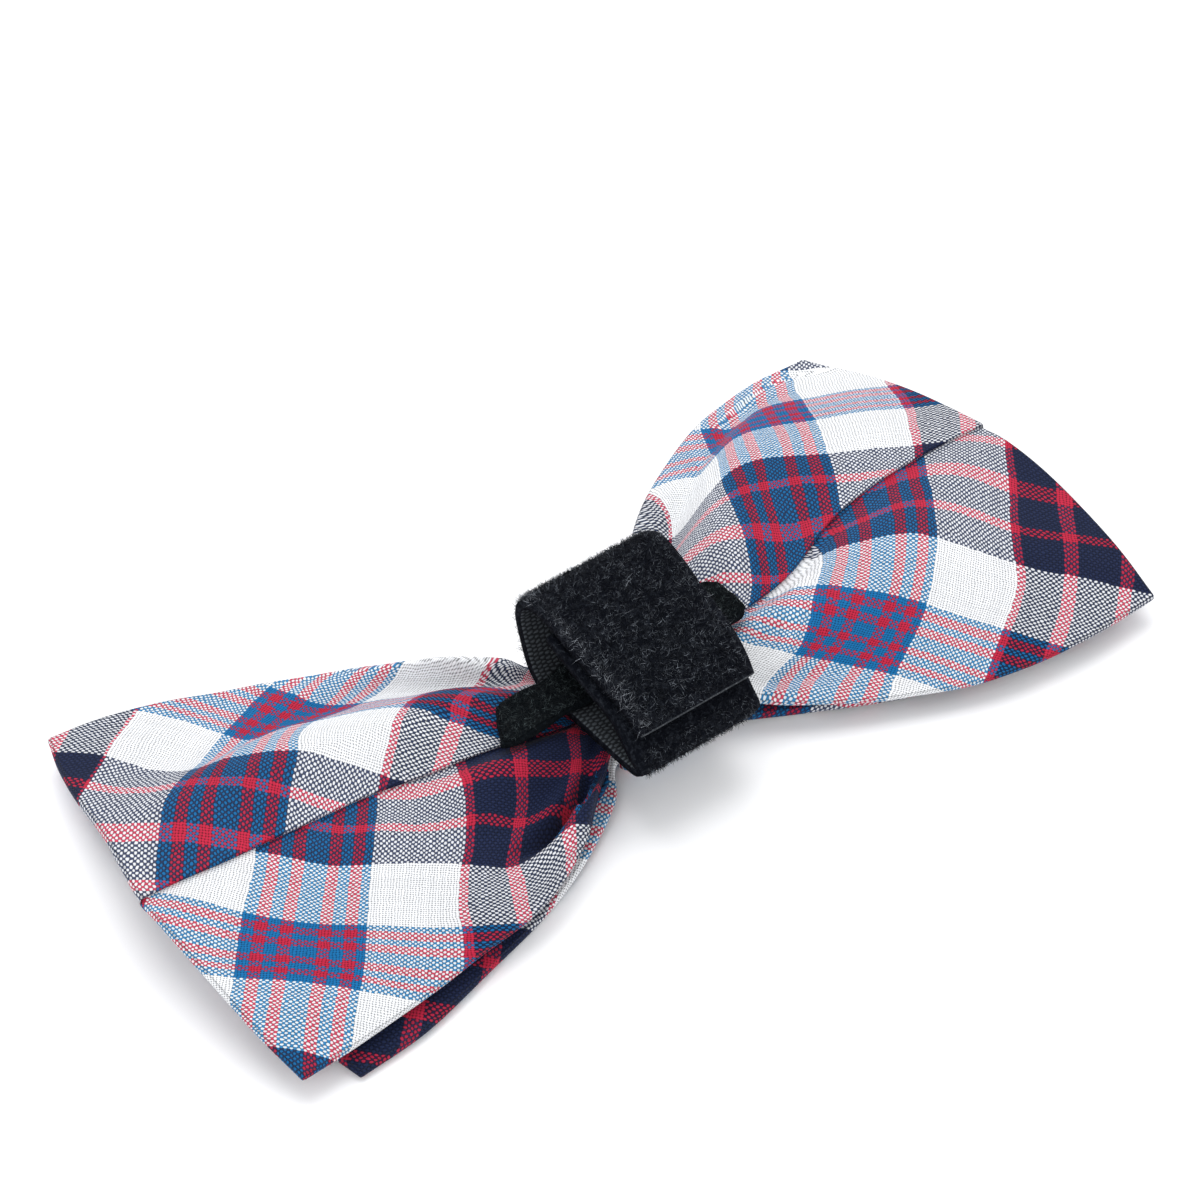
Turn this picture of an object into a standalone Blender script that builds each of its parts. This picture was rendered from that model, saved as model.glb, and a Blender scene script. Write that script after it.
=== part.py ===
"""Pet bow tie with a hook-and-loop strap loop for a collar, lying face down on its front knot.

Metres, +Z up, +X along the bow toward its right wing, +Y away from the strap's free end. The
origin is the middle of the whole outline, on the table. The fold tables give each fold line of
a cloth layer as shares of the bow's half height (across) and of its puff (rise).
"""

import bpy
import numpy as np

# Cloth bow, measured against the 20 mm tape.
HALF_LENGTH = 0.0648
HALF_HEIGHT = 0.0310
PUFF = 0.0100
CLOTH = 0.0013
# Gathered waist and the band round it.
WAIST_HALF = 0.0081
PLEAT = 0.0009
BAND_WIDTH = 0.0110
BAND_THICK = 0.0015
BAND_CORNER = 0.0030
# Strap loop and the tab that holds it.
STRAP_WIDTH = 0.0200
STRAP_THICK = 0.0017
LOOP_DEPTH = 0.0230
LOOP_HEIGHT = 0.0117
TAB_LENGTH = 0.0340
TAB_WIDTH = 0.0070
TAB_THICK = 0.0014
# Clearance between pieces that touch.
GAP = 0.0003

# Heights of the stack at the waist, from the table up.
FRONT_WAIST = BAND_THICK + GAP
BACK_WAIST = FRONT_WAIST + CLOTH + PLEAT + GAP
BAND_INSIDE = BACK_WAIST + CLOTH + PLEAT + GAP
BAND_HEIGHT = BAND_INSIDE + BAND_THICK
STRAP_REST = BAND_HEIGHT + GAP + STRAP_THICK / 2
TAB_REST = STRAP_REST + STRAP_THICK / 2 + GAP

# Back bow, from the left wing's end (-1) to the right wing's end (+1), one row per section.
# Columns: station, then the fold lines far edge, far roll, far valley, far crest, far dip,
# lap seam, near crest, near valley, near roll, near edge.
BACK_ACROSS_LEFT = [
    (-1.00, 1.16, 1.00, 0.78, 0.50, 0.31, 0.12, -0.10, -0.34, -0.60, -0.81),
    (-0.80, 1.11, 0.94, 0.72, 0.46, 0.26, 0.06, -0.15, -0.37, -0.60, -0.79),
    (-0.60, 0.96, 0.82, 0.63, 0.40, 0.20, 0.01, -0.19, -0.38, -0.58, -0.745),
    (-0.42, 0.76, 0.66, 0.52, 0.31, 0.14, -0.04, -0.20, -0.42, -0.62, -0.70),
    (-0.28, 0.565, 0.50, 0.41, 0.24, 0.10, -0.07, -0.18, -0.34, -0.52, -0.56),
]
BACK_ACROSS_RIGHT = [
    (0.28, 0.62, 0.52, 0.42, 0.28, 0.13, -0.06, -0.14, -0.28, -0.41, -0.53),
    (0.42, 0.82, 0.72, 0.62, 0.46, 0.22, -0.02, -0.14, -0.32, -0.50, -0.69),
    (0.60, 1.00, 0.92, 0.83, 0.66, 0.40, 0.12, -0.08, -0.34, -0.58, -0.84),
    (0.80, 1.09, 1.01, 0.89, 0.66, 0.43, 0.16, -0.08, -0.36, -0.62, -0.90),
    (1.00, 1.09, 0.97, 0.80, 0.56, 0.37, 0.16, -0.08, -0.36, -0.64, -0.90),
]
BACK_RISE_LEFT = [
    (-1.00, 0.14, 0.21, 0.33, 0.57, 0.64, 0.66, 0.61, 0.49, 0.31, 0.14),
    (-0.80, 0.11, 0.13, 0.31, 0.69, 0.76, 0.73, 0.69, 0.57, 0.37, 0.11),
    (-0.60, 0.13, 0.17, 0.37, 0.83, 0.87, 0.77, 0.77, 0.65, 0.43, 0.13),
    (-0.42, 0.27, 0.39, 0.35, 0.83, 0.85, 0.69, 0.75, 0.43, 0.37, 0.17),
    (-0.28, 0.41, 0.57, 0.31, 0.73, 0.77, 0.63, 0.67, 0.21, 0.37, 0.23),
]
BACK_RISE_RIGHT = [
    (0.28, 0.43, 0.47, 0.37, 0.77, 0.79, 0.61, 0.69, 0.67, 0.37, 0.17),
    (0.42, 0.35, 0.41, 0.43, 0.85, 0.83, 0.65, 0.79, 0.81, 0.43, 0.11),
    (0.60, 0.23, 0.33, 0.51, 0.85, 0.81, 0.71, 0.83, 0.85, 0.57, 0.09),
    (0.80, 0.16, 0.29, 0.51, 0.79, 0.77, 0.73, 0.77, 0.73, 0.53, 0.11),
    (1.00, 0.14, 0.25, 0.43, 0.65, 0.69, 0.69, 0.67, 0.57, 0.37, 0.14),
]
# Across the waist under the band, as shares of its half width and of the pleats' depth, and
# beside the strap's edges, where the cloth swells as far as the band's outside.
BACK_WAIST_ROW = [
    (1.00, 0.85, 0.65, 0.39, 0.12, -0.19, -0.42, -0.64, -0.85, -1.00),
    (0.30, 0.80, 0.20, 0.90, 0.50, 0.20, 0.80, 0.20, 0.80, 0.30),
]
BACK_SHOULDER_LEFT = [
    (1.36, 1.13, 0.87, 0.49, 0.15, -0.30, -0.57, -0.87, -1.17, -1.30),
    (0.82, 1.10, 0.30, 0.88, 0.80, 0.60, 0.66, 0.05, 0.40, -0.05),
]
BACK_SHOULDER_RIGHT = [
    (1.40, 1.17, 0.87, 0.53, 0.19, -0.23, -0.49, -0.79, -1.09, -1.32),
    (0.60, 0.80, 0.30, 0.88, 0.80, 0.52, 0.74, 0.52, 0.30, -0.10),
]
# How far each fold line reaches at the two wing ends, as a share of the half length.
BACK_LEFT_REACH = (0.905, 0.930, 0.955, 0.980, 1.000, 1.018, 1.018, 1.012, 1.003, 0.985)
BACK_RIGHT_REACH = (0.900, 0.910, 0.925, 0.940, 0.962, 0.985, 0.993, 0.995, 0.992, 0.980)

# Front bow, the second layer, flatter and nearly on the table. Columns: station, then the
# lines far edge, far slope, middle, near slope, near edge.
FRONT_ACROSS_LEFT = [
    (-1.00, 1.02, 0.62, 0.10, -0.50, -0.86),
    (-0.80, 0.98, 0.58, 0.06, -0.50, -0.84),
    (-0.60, 0.86, 0.50, 0.02, -0.46, -0.76),
    (-0.42, 0.66, 0.38, 0.00, -0.38, -0.67),
    (-0.28, 0.46, 0.26, -0.01, -0.28, -0.55),
]
FRONT_ACROSS_RIGHT = [
    (0.28, 0.50, 0.28, 0.00, -0.26, -0.47),
    (0.42, 0.68, 0.40, 0.02, -0.34, -0.61),
    (0.60, 0.86, 0.52, 0.06, -0.42, -0.74),
    (0.80, 0.98, 0.60, 0.10, -0.47, -0.81),
    (1.00, 1.03, 0.64, 0.12, -0.50, -0.83),
]
FRONT_RISE_LEFT = [
    (-1.00, 0.005, 0.21, 0.37, 0.17, 0.005),
    (-0.80, 0.010, 0.23, 0.43, 0.21, 0.020),
    (-0.60, 0.030, 0.25, 0.44, 0.25, 0.040),
    (-0.42, 0.060, 0.21, 0.33, 0.23, 0.060),
    (-0.28, 0.100, 0.17, 0.25, 0.17, 0.090),
]
FRONT_RISE_RIGHT = [
    (0.28, 0.100, 0.17, 0.25, 0.17, 0.080),
    (0.42, 0.060, 0.21, 0.33, 0.21, 0.060),
    (0.60, 0.030, 0.25, 0.44, 0.23, 0.030),
    (0.80, 0.010, 0.23, 0.43, 0.21, 0.010),
    (1.00, 0.005, 0.21, 0.37, 0.17, 0.005),
]
FRONT_WAIST_ROW = [
    (0.94, 0.58, 0.00, -0.58, -0.94),
    (0.10, 0.30, 0.20, 0.30, 0.10),
]
FRONT_SHOULDER_LEFT = [
    (1.18, 0.69, 0.00, -0.69, -1.50),
    (-0.10, 0.10, 0.12, 0.05, -0.25),
]
FRONT_SHOULDER_RIGHT = [
    (1.18, 0.69, 0.00, -0.69, -1.28),
    (-0.10, 0.10, 0.12, 0.05, -0.25),
]
FRONT_LEFT_REACH = (0.895, 0.940, 0.950, 0.930, 0.885)
FRONT_RIGHT_REACH = (0.890, 0.925, 0.950, 0.955, 0.930)

# Strap, along the middle of its thickness. Columns: y as a share of the loop's depth, height
# above the inner run as a share of the loop's height, left edge and right edge as shares of
# the tape's width. First from the near fold along the inner run, then up and over to the end.
INNER_RUN = [
    (-0.665, 0.205, -0.500, 0.420),
    (-0.713, 0.103, -0.495, 0.420),
    (-0.683, 0.026, -0.495, 0.420),
    (-0.557, 0.000, -0.495, 0.430),
    (-0.455, 0.000, -0.495, 0.435),
    (-0.348, 0.000, -0.495, 0.440),
    (-0.130, 0.000, -0.495, 0.455),
    (0.070, 0.000, -0.495, 0.470),
]
OUTER_RUN = [
    (0.161, 0.085, -0.495, 0.480),
    (0.209, 0.231, -0.495, 0.485),
    (0.243, 0.402, -0.495, 0.490),
    (0.274, 0.590, -0.495, 0.500),
    (0.289, 0.761, -0.495, 0.505),
    (0.265, 0.923, -0.490, 0.510),
    (0.174, 1.000, -0.480, 0.510),
    (0.026, 0.949, -0.470, 0.505),
    (-0.139, 0.855, -0.465, 0.490),
    (-0.313, 0.769, -0.460, 0.475),
    (-0.487, 0.679, -0.450, 0.450),
    (-0.591, 0.564, -0.440, 0.435),
    (-0.661, 0.419, -0.435, 0.425),
]
# How many of the outer run's last rows lie over the strap's hidden end.
LAPPED_ROWS = 6
HIDDEN_EDGES = (-0.490, 0.435)

# Felt tab, left tip to right tip. Columns: station, half width, middle line, slant of the row,
# all but the station as shares of the tab's width.
TAB_PLAN = [
    (-1.00, 0.40, -0.10, -0.14),
    (-0.92, 0.48, -0.09, -0.14),
    (-0.77, 0.46, -0.08, -0.10),
    (-0.57, 0.43, -0.10, 0.00),
    (-0.29, 0.46, -0.12, 0.00),
    (0.00, 0.47, -0.12, 0.00),
    (0.29, 0.46, -0.12, 0.00),
    (0.57, 0.45, -0.10, 0.00),
    (0.80, 0.47, -0.09, 0.00),
    (0.94, 0.46, -0.09, 0.00),
    (1.00, 0.36, -0.09, 0.00),
]


def smooth(values, count):
    """Catmull-Rom curve through the rows of values, with count steps between each pair."""
    values = np.asarray(values, float)
    first = 2 * values[0] - values[1]
    last = 2 * values[-1] - values[-2]
    run = np.concatenate([first[None], values, last[None]])
    out = []
    for k in range(len(values) - 1):
        a, b, c, d = run[k : k + 4]
        for t in np.arange(count) / count:
            square = (2 * a - 5 * b + 4 * c - d) * t**2
            cube = (3 * b - a - 3 * c + d) * t**3
            out.append(0.5 * (2 * b + (c - a) * t + square + cube))
    out.append(values[-1])
    return np.array(out)


def material(name, colour, roughness):
    mat = bpy.data.materials.new(name)
    mat.use_nodes = True
    shader = mat.node_tree.nodes["Principled BSDF"]
    shader.inputs["Base Color"].default_value = (*colour, 1.0)
    shader.inputs["Roughness"].default_value = roughness
    shader.inputs["Metallic"].default_value = 0.0
    return mat


def place(obj, mat):
    obj.data.materials.append(mat)
    obj.parent = root
    parts.objects.link(obj)


def sheet(name, grid, thickness, offset, mat):
    """Lofts an open surface through a grid of sections, then thickens it with Solidify."""
    rows, cols = grid.shape[:2]
    faces = []
    for i in range(rows - 1):
        for j in range(cols - 1):
            a = i * cols + j
            faces.append((a, a + 1, a + cols + 1, a + cols))
    mesh = bpy.data.meshes.new(name)
    mesh.from_pydata(grid.reshape(-1, 3).tolist(), [], faces)
    if sum(p.normal.z * p.area for p in mesh.polygons) < 0:
        mesh.flip_normals()
    mesh.shade_smooth()
    obj = bpy.data.objects.new(name, mesh)
    place(obj, mat)
    skin = obj.modifiers.new("cloth", "SOLIDIFY")
    skin.thickness = thickness
    skin.offset = offset
    skin.use_even_offset = False
    return obj


def wing_rows(across, rise, reach, lift):
    """Sections of one wing in metres: x, y and z of the top side on every fold line."""
    across = np.array(across)
    rise = np.array(rise)
    station = across[:, :1]
    x = station * HALF_LENGTH * (1 + (np.array(reach) - 1) * station**2)
    return np.stack([x, across[:, 1:] * HALF_HEIGHT, lift + rise[:, 1:] * PUFF], axis=2)


def waist_row(x, row, base, swell):
    across, rise = np.array(row)
    return np.stack([np.full(across.shape, x), across * WAIST_HALF, base + rise * swell], axis=1)


def bow_layer(left, right, lift, waist, base, shoulders):
    """All the sections of one layer, left to right, with the waist in the middle."""
    inside = BAND_WIDTH / 2 + GAP
    beside = STRAP_WIDTH / 2
    swell = PLEAT + BAND_THICK + GAP
    rows = list(wing_rows(*left, lift))
    rows.append(waist_row(-beside, shoulders[0], base, swell))
    rows.append(waist_row(-inside, waist, base, PLEAT))
    rows.append(waist_row(inside, waist, base, PLEAT))
    rows.append(waist_row(beside, shoulders[1], base, swell))
    rows += list(wing_rows(*right, lift))
    return np.array(rows)


def refined(grid, along, across):
    grid = smooth(grid, along)
    return smooth(grid.transpose(1, 0, 2), across).transpose(1, 0, 2)


def strap_rows():
    """Strap path: the hidden lapped end, the inner run, then the outer run to the free end."""
    inner = np.array(INNER_RUN)
    outer = np.array(OUTER_RUN)
    for run in (inner, outer):
        run[:, 0] *= LOOP_DEPTH
        run[:, 1] = STRAP_REST + run[:, 1] * LOOP_HEIGHT
        run[:, 2:] *= STRAP_WIDTH
    heading = np.gradient(outer[:, :2], axis=0)
    heading /= np.linalg.norm(heading, axis=1, keepdims=True)
    inward = np.stack([-heading[:, 1], heading[:, 0]], axis=1)
    hidden = outer[-LAPPED_ROWS:].copy()
    hidden[:, :2] += inward[-LAPPED_ROWS:] * (STRAP_THICK + 1.5 * GAP)
    hidden[:, 2:] = np.array(HIDDEN_EDGES) * STRAP_WIDTH
    return np.concatenate([hidden, inner, outer])


def tab_rows(back):
    """The tab's underside, a gap above the strap's inner run and the bow's back beside it."""
    cloud = back.reshape(-1, 3)
    grid = []
    for station, half, middle, slant in smooth(TAB_PLAN, 2):
        x = station * TAB_LENGTH / 2
        y = [(middle + share * half) * TAB_WIDTH for share in (-1.0, -0.5, 0.0, 0.5, 1.0)]
        near = np.abs(cloud[:, 0] - x) < TAB_WIDTH / 4
        near &= (cloud[:, 1] > y[0] - TAB_WIDTH / 8) & (cloud[:, 1] < y[-1] + TAB_WIDTH / 8)
        z = max(TAB_REST, cloud[near, 2].max(initial=0.0) + GAP)
        row = [
            (x + slant * share * TAB_WIDTH, y[k], z)
            for k, share in enumerate((-1.0, -0.5, 0.0, 0.5, 1.0))
        ]
        grid.append(row)
    return np.array(grid)


def rounded_box(name, size, corner, middle):
    """A primitive cube, sized, with its four edges along X bevelled."""
    bpy.ops.mesh.primitive_cube_add(size=1.0, location=middle)
    obj = bpy.context.object
    obj.name = name
    for vertex in obj.data.vertices:
        vertex.co = [c * s for c, s in zip(vertex.co, size)]
    weight = obj.data.attributes.new("bevel_weight_edge", "FLOAT", "EDGE")
    for edge in obj.data.edges:
        a, b = (obj.data.vertices[k].co for k in edge.vertices)
        weight.data[edge.index].value = float(abs(a.x - b.x) > size[0] / 2)
    bevel = obj.modifiers.new("corners", "BEVEL")
    bevel.limit_method = "WEIGHT"
    bevel.width = corner
    bevel.segments = 5
    for collection in list(obj.users_collection):
        collection.objects.unlink(obj)
    return obj


def centre_band(mat):
    """Cloth band that gathers both layers, a rounded box cut out by a smaller rounded box."""
    inner_half = WAIST_HALF + GAP
    outer = (BAND_WIDTH, 2 * (inner_half + BAND_THICK), BAND_HEIGHT)
    hole = (BAND_WIDTH * 2, 2 * inner_half, BAND_INSIDE - BAND_THICK)
    band = rounded_box("centre_band", outer, BAND_CORNER, (0, 0, BAND_HEIGHT / 2))
    middle = (BAND_INSIDE + BAND_THICK) / 2
    cutter = rounded_box("band_cutter", hole, BAND_CORNER - BAND_THICK, (0, 0, middle))
    cutter.hide_render = True
    cutter.display_type = "WIRE"
    cutter.parent = root
    cutters.objects.link(cutter)
    cut = band.modifiers.new("hollow", "BOOLEAN")
    cut.object = cutter
    cut.operation = "DIFFERENCE"
    place(band, mat)
    return band


for leftover in list(bpy.data.objects):
    bpy.data.objects.remove(leftover, do_unlink=True)

parts = bpy.data.collections.new("pet_bow_tie")
cutters = bpy.data.collections.new("cutters")
bpy.context.scene.collection.children.link(parts)
bpy.context.scene.collection.children.link(cutters)
root = bpy.data.objects.new("bow_tie", None)
parts.objects.link(root)

plaid = material("plaid_cotton", (0.36, 0.30, 0.42), 0.85)
plaid_front = material("plaid_cotton_front", (0.30, 0.22, 0.34), 0.85)
plaid_band = material("plaid_cotton_band", (0.33, 0.27, 0.40), 0.85)
tape = material("black_loop_tape", (0.018, 0.020, 0.024), 0.95)
felt = material("black_felt", (0.014, 0.018, 0.019), 0.97)

back = bow_layer(
    (BACK_ACROSS_LEFT, BACK_RISE_LEFT, BACK_LEFT_REACH),
    (BACK_ACROSS_RIGHT, BACK_RISE_RIGHT, BACK_RIGHT_REACH),
    2 * CLOTH + GAP,
    BACK_WAIST_ROW,
    BACK_WAIST + CLOTH,
    (BACK_SHOULDER_LEFT, BACK_SHOULDER_RIGHT),
)
front = bow_layer(
    (FRONT_ACROSS_LEFT, FRONT_RISE_LEFT, FRONT_LEFT_REACH),
    (FRONT_ACROSS_RIGHT, FRONT_RISE_RIGHT, FRONT_RIGHT_REACH),
    CLOTH,
    FRONT_WAIST_ROW,
    FRONT_WAIST + CLOTH,
    (FRONT_SHOULDER_LEFT, FRONT_SHOULDER_RIGHT),
)
back = refined(back, 4, 3)
front = refined(front, 3, 4)
sheet("back_bow", back, CLOTH, -1.0, plaid)
sheet("front_bow", front, CLOTH, -1.0, plaid_front)
centre_band(plaid_band)

path = smooth(strap_rows(), 4)
ribbon = np.array([[(left, y, z), (right, y, z)] for y, z, left, right in path])
sheet("strap", ribbon, STRAP_THICK, 0.0, tape)
sheet("retaining_tab", tab_rows(back), TAB_THICK, 1.0, felt)

# The origin is the middle of the outline, so the whole model moves by its own centre.
bpy.context.view_layer.update()
corners = []
for obj in parts.objects:
    if obj.type == "MESH":
        made = obj.evaluated_get(bpy.context.evaluated_depsgraph_get())
        corners += [tuple(obj.matrix_world @ v.co) for v in made.data.vertices]
corners = np.array(corners)
root.location.x = -(corners[:, 0].min() + corners[:, 0].max()) / 2
root.location.y = -(corners[:, 1].min() + corners[:, 1].max()) / 2
bpy.context.view_layer.update()
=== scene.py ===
"""Pet bow tie with its strap loop, lying face down on a white table."""

import math

import bpy
import numpy as np
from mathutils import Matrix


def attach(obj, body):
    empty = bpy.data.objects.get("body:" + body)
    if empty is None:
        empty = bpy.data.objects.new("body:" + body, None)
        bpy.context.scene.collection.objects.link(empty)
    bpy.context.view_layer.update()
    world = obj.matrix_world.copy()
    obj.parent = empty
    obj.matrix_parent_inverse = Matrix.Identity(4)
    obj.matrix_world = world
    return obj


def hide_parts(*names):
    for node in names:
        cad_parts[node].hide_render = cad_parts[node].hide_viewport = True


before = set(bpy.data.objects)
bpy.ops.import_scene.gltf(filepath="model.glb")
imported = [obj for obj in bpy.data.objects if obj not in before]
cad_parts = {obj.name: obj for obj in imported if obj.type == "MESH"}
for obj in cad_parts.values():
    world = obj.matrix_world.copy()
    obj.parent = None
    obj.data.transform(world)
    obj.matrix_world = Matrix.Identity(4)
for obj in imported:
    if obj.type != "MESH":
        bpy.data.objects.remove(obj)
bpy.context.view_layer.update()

# Camera: a long lens at the photograph's angle, aimed a little past the bow's middle. The camera
# angles and the distance come from a fit to the bow's outline and the strap's 20 mm width.
LENS = 111.3
SENSOR_WIDTH = 36.0
CAMERA_DISTANCE = 0.4709
CAMERA_TURN, CAMERA_LIFT = math.radians(-38.03), math.radians(44.18)
# Every table below measures from a point under the strap's middle, this far from the origin.
SHIFT = np.array([0.00079560, -0.00396461, 0.0])


def placed(name, data):
    """A new object in the scene, at the origin and unturned."""
    obj = bpy.data.objects.new(name, data)
    bpy.context.scene.collection.objects.link(obj)
    return obj


camera_data = bpy.data.cameras.new("camera")
camera_data.lens = LENS
camera_data.sensor_width = SENSOR_WIDTH
camera = placed("camera", camera_data)
aim = np.array([0.01105, 0.01748, 0.0])
flat = math.cos(CAMERA_LIFT)
back = np.array([math.sin(CAMERA_TURN) * flat, -math.cos(CAMERA_TURN) * flat, math.sin(CAMERA_LIFT)])
camera.location = (aim + SHIFT + back * CAMERA_DISTANCE).tolist()
camera.rotation_euler = (math.pi / 2 - CAMERA_LIFT, 0.0, CAMERA_TURN)
bpy.context.scene.camera = camera

# Back bow: a tube of plaid shirt cotton, ironed flat round its interfacing. Its long edges meet
# in a lapped seam down the middle of the back, the far flap over the near one, and the waist
# is gathered in pleats that fade into the wings.
HALF_LENGTH = 64.8
HALF_HEIGHT = 31.0
PUFF = 10.0
WAIST_HALF = 8.1
WAIST_END = 5.8
SHOULDER_END = 10.0
PLEAT = 0.9
SHOULDER_SWELL = 2.7
CLOTH_THICK = 1.2
BACK_LIFT = 2.9
BACK_WAIST = 5.6
# One row a station: its share of the half length, then where each fold line crosses, from the far
# rim to the near one, as shares of the half height. The rise tables have the same rows: the fold
# lines' height over the layer's lift, as shares of PUFF.
BACK_ACROSS_LEFT = [
    (-1.00, 1.16, 1.00, 0.78, 0.50, 0.31, 0.12, -0.10, -0.34, -0.60, -0.81),
    (-0.80, 1.11, 0.94, 0.72, 0.46, 0.26, 0.06, -0.15, -0.37, -0.60, -0.79),
    (-0.60, 0.96, 0.82, 0.63, 0.40, 0.20, 0.01, -0.19, -0.38, -0.58, -0.745),
    (-0.42, 0.76, 0.66, 0.52, 0.31, 0.14, -0.04, -0.20, -0.42, -0.62, -0.70),
    (-0.28, 0.565, 0.50, 0.41, 0.24, 0.10, -0.07, -0.18, -0.34, -0.52, -0.56),
]
BACK_ACROSS_RIGHT = [
    (0.28, 0.62, 0.52, 0.42, 0.28, 0.13, -0.06, -0.14, -0.28, -0.41, -0.53),
    (0.42, 0.82, 0.72, 0.62, 0.46, 0.22, -0.02, -0.14, -0.32, -0.50, -0.69),
    (0.60, 1.00, 0.92, 0.83, 0.66, 0.40, 0.12, -0.08, -0.34, -0.58, -0.84),
    (0.80, 1.09, 1.01, 0.89, 0.66, 0.43, 0.16, -0.08, -0.36, -0.62, -0.90),
    (1.00, 1.09, 0.97, 0.80, 0.56, 0.37, 0.16, -0.08, -0.36, -0.64, -0.90),
]
BACK_RISE_LEFT = [
    (0.14, 0.21, 0.33, 0.57, 0.64, 0.66, 0.61, 0.49, 0.31, 0.14),
    (0.11, 0.13, 0.31, 0.69, 0.76, 0.73, 0.69, 0.57, 0.37, 0.11),
    (0.13, 0.17, 0.37, 0.83, 0.87, 0.77, 0.77, 0.65, 0.43, 0.13),
    (0.27, 0.39, 0.35, 0.83, 0.85, 0.69, 0.75, 0.43, 0.37, 0.17),
    (0.41, 0.57, 0.31, 0.73, 0.77, 0.63, 0.67, 0.21, 0.37, 0.23),
]
BACK_RISE_RIGHT = [
    (0.43, 0.47, 0.37, 0.77, 0.79, 0.61, 0.69, 0.67, 0.37, 0.17),
    (0.35, 0.41, 0.43, 0.85, 0.83, 0.65, 0.79, 0.81, 0.43, 0.11),
    (0.23, 0.33, 0.51, 0.85, 0.81, 0.71, 0.83, 0.85, 0.57, 0.09),
    (0.16, 0.29, 0.51, 0.79, 0.77, 0.73, 0.77, 0.73, 0.53, 0.11),
    (0.14, 0.25, 0.43, 0.65, 0.69, 0.69, 0.67, 0.57, 0.37, 0.14),
]
# The fold lines at the waist and at its shoulders: shares of the waist's half width, then of the
# pleats' height or the shoulders' swell.
BACK_WAIST_ROW = [
    (1.00, 0.85, 0.65, 0.39, 0.12, -0.19, -0.42, -0.64, -0.85, -1.00),
    (0.30, 0.80, 0.20, 0.90, 0.50, 0.20, 0.80, 0.20, 0.80, 0.30),
]
BACK_SHOULDER_LEFT = [
    (1.36, 1.13, 0.87, 0.49, 0.15, -0.30, -0.57, -0.87, -1.17, -1.30),
    (0.82, 1.10, 0.30, 0.88, 0.80, 0.60, 0.66, 0.05, 0.40, -0.05),
]
BACK_SHOULDER_RIGHT = [
    (1.40, 1.17, 0.87, 0.53, 0.19, -0.23, -0.49, -0.79, -1.09, -1.32),
    (0.60, 0.80, 0.30, 0.88, 0.80, 0.52, 0.74, 0.52, 0.30, -0.10),
]
# How far each fold line reaches at the wing's end, as a share of the half length.
BACK_LEFT_REACH = (0.905, 0.930, 0.955, 0.980, 1.000, 1.018, 1.018, 1.012, 1.003, 0.985)
BACK_RIGHT_REACH = (0.900, 0.910, 0.925, 0.940, 0.962, 0.985, 0.993, 0.995, 0.992, 0.980)
SEAM_LINE = 5
GATHERS, GATHER_RISE, GATHER_REACH = 8.6, 0.20, 5.5
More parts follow.
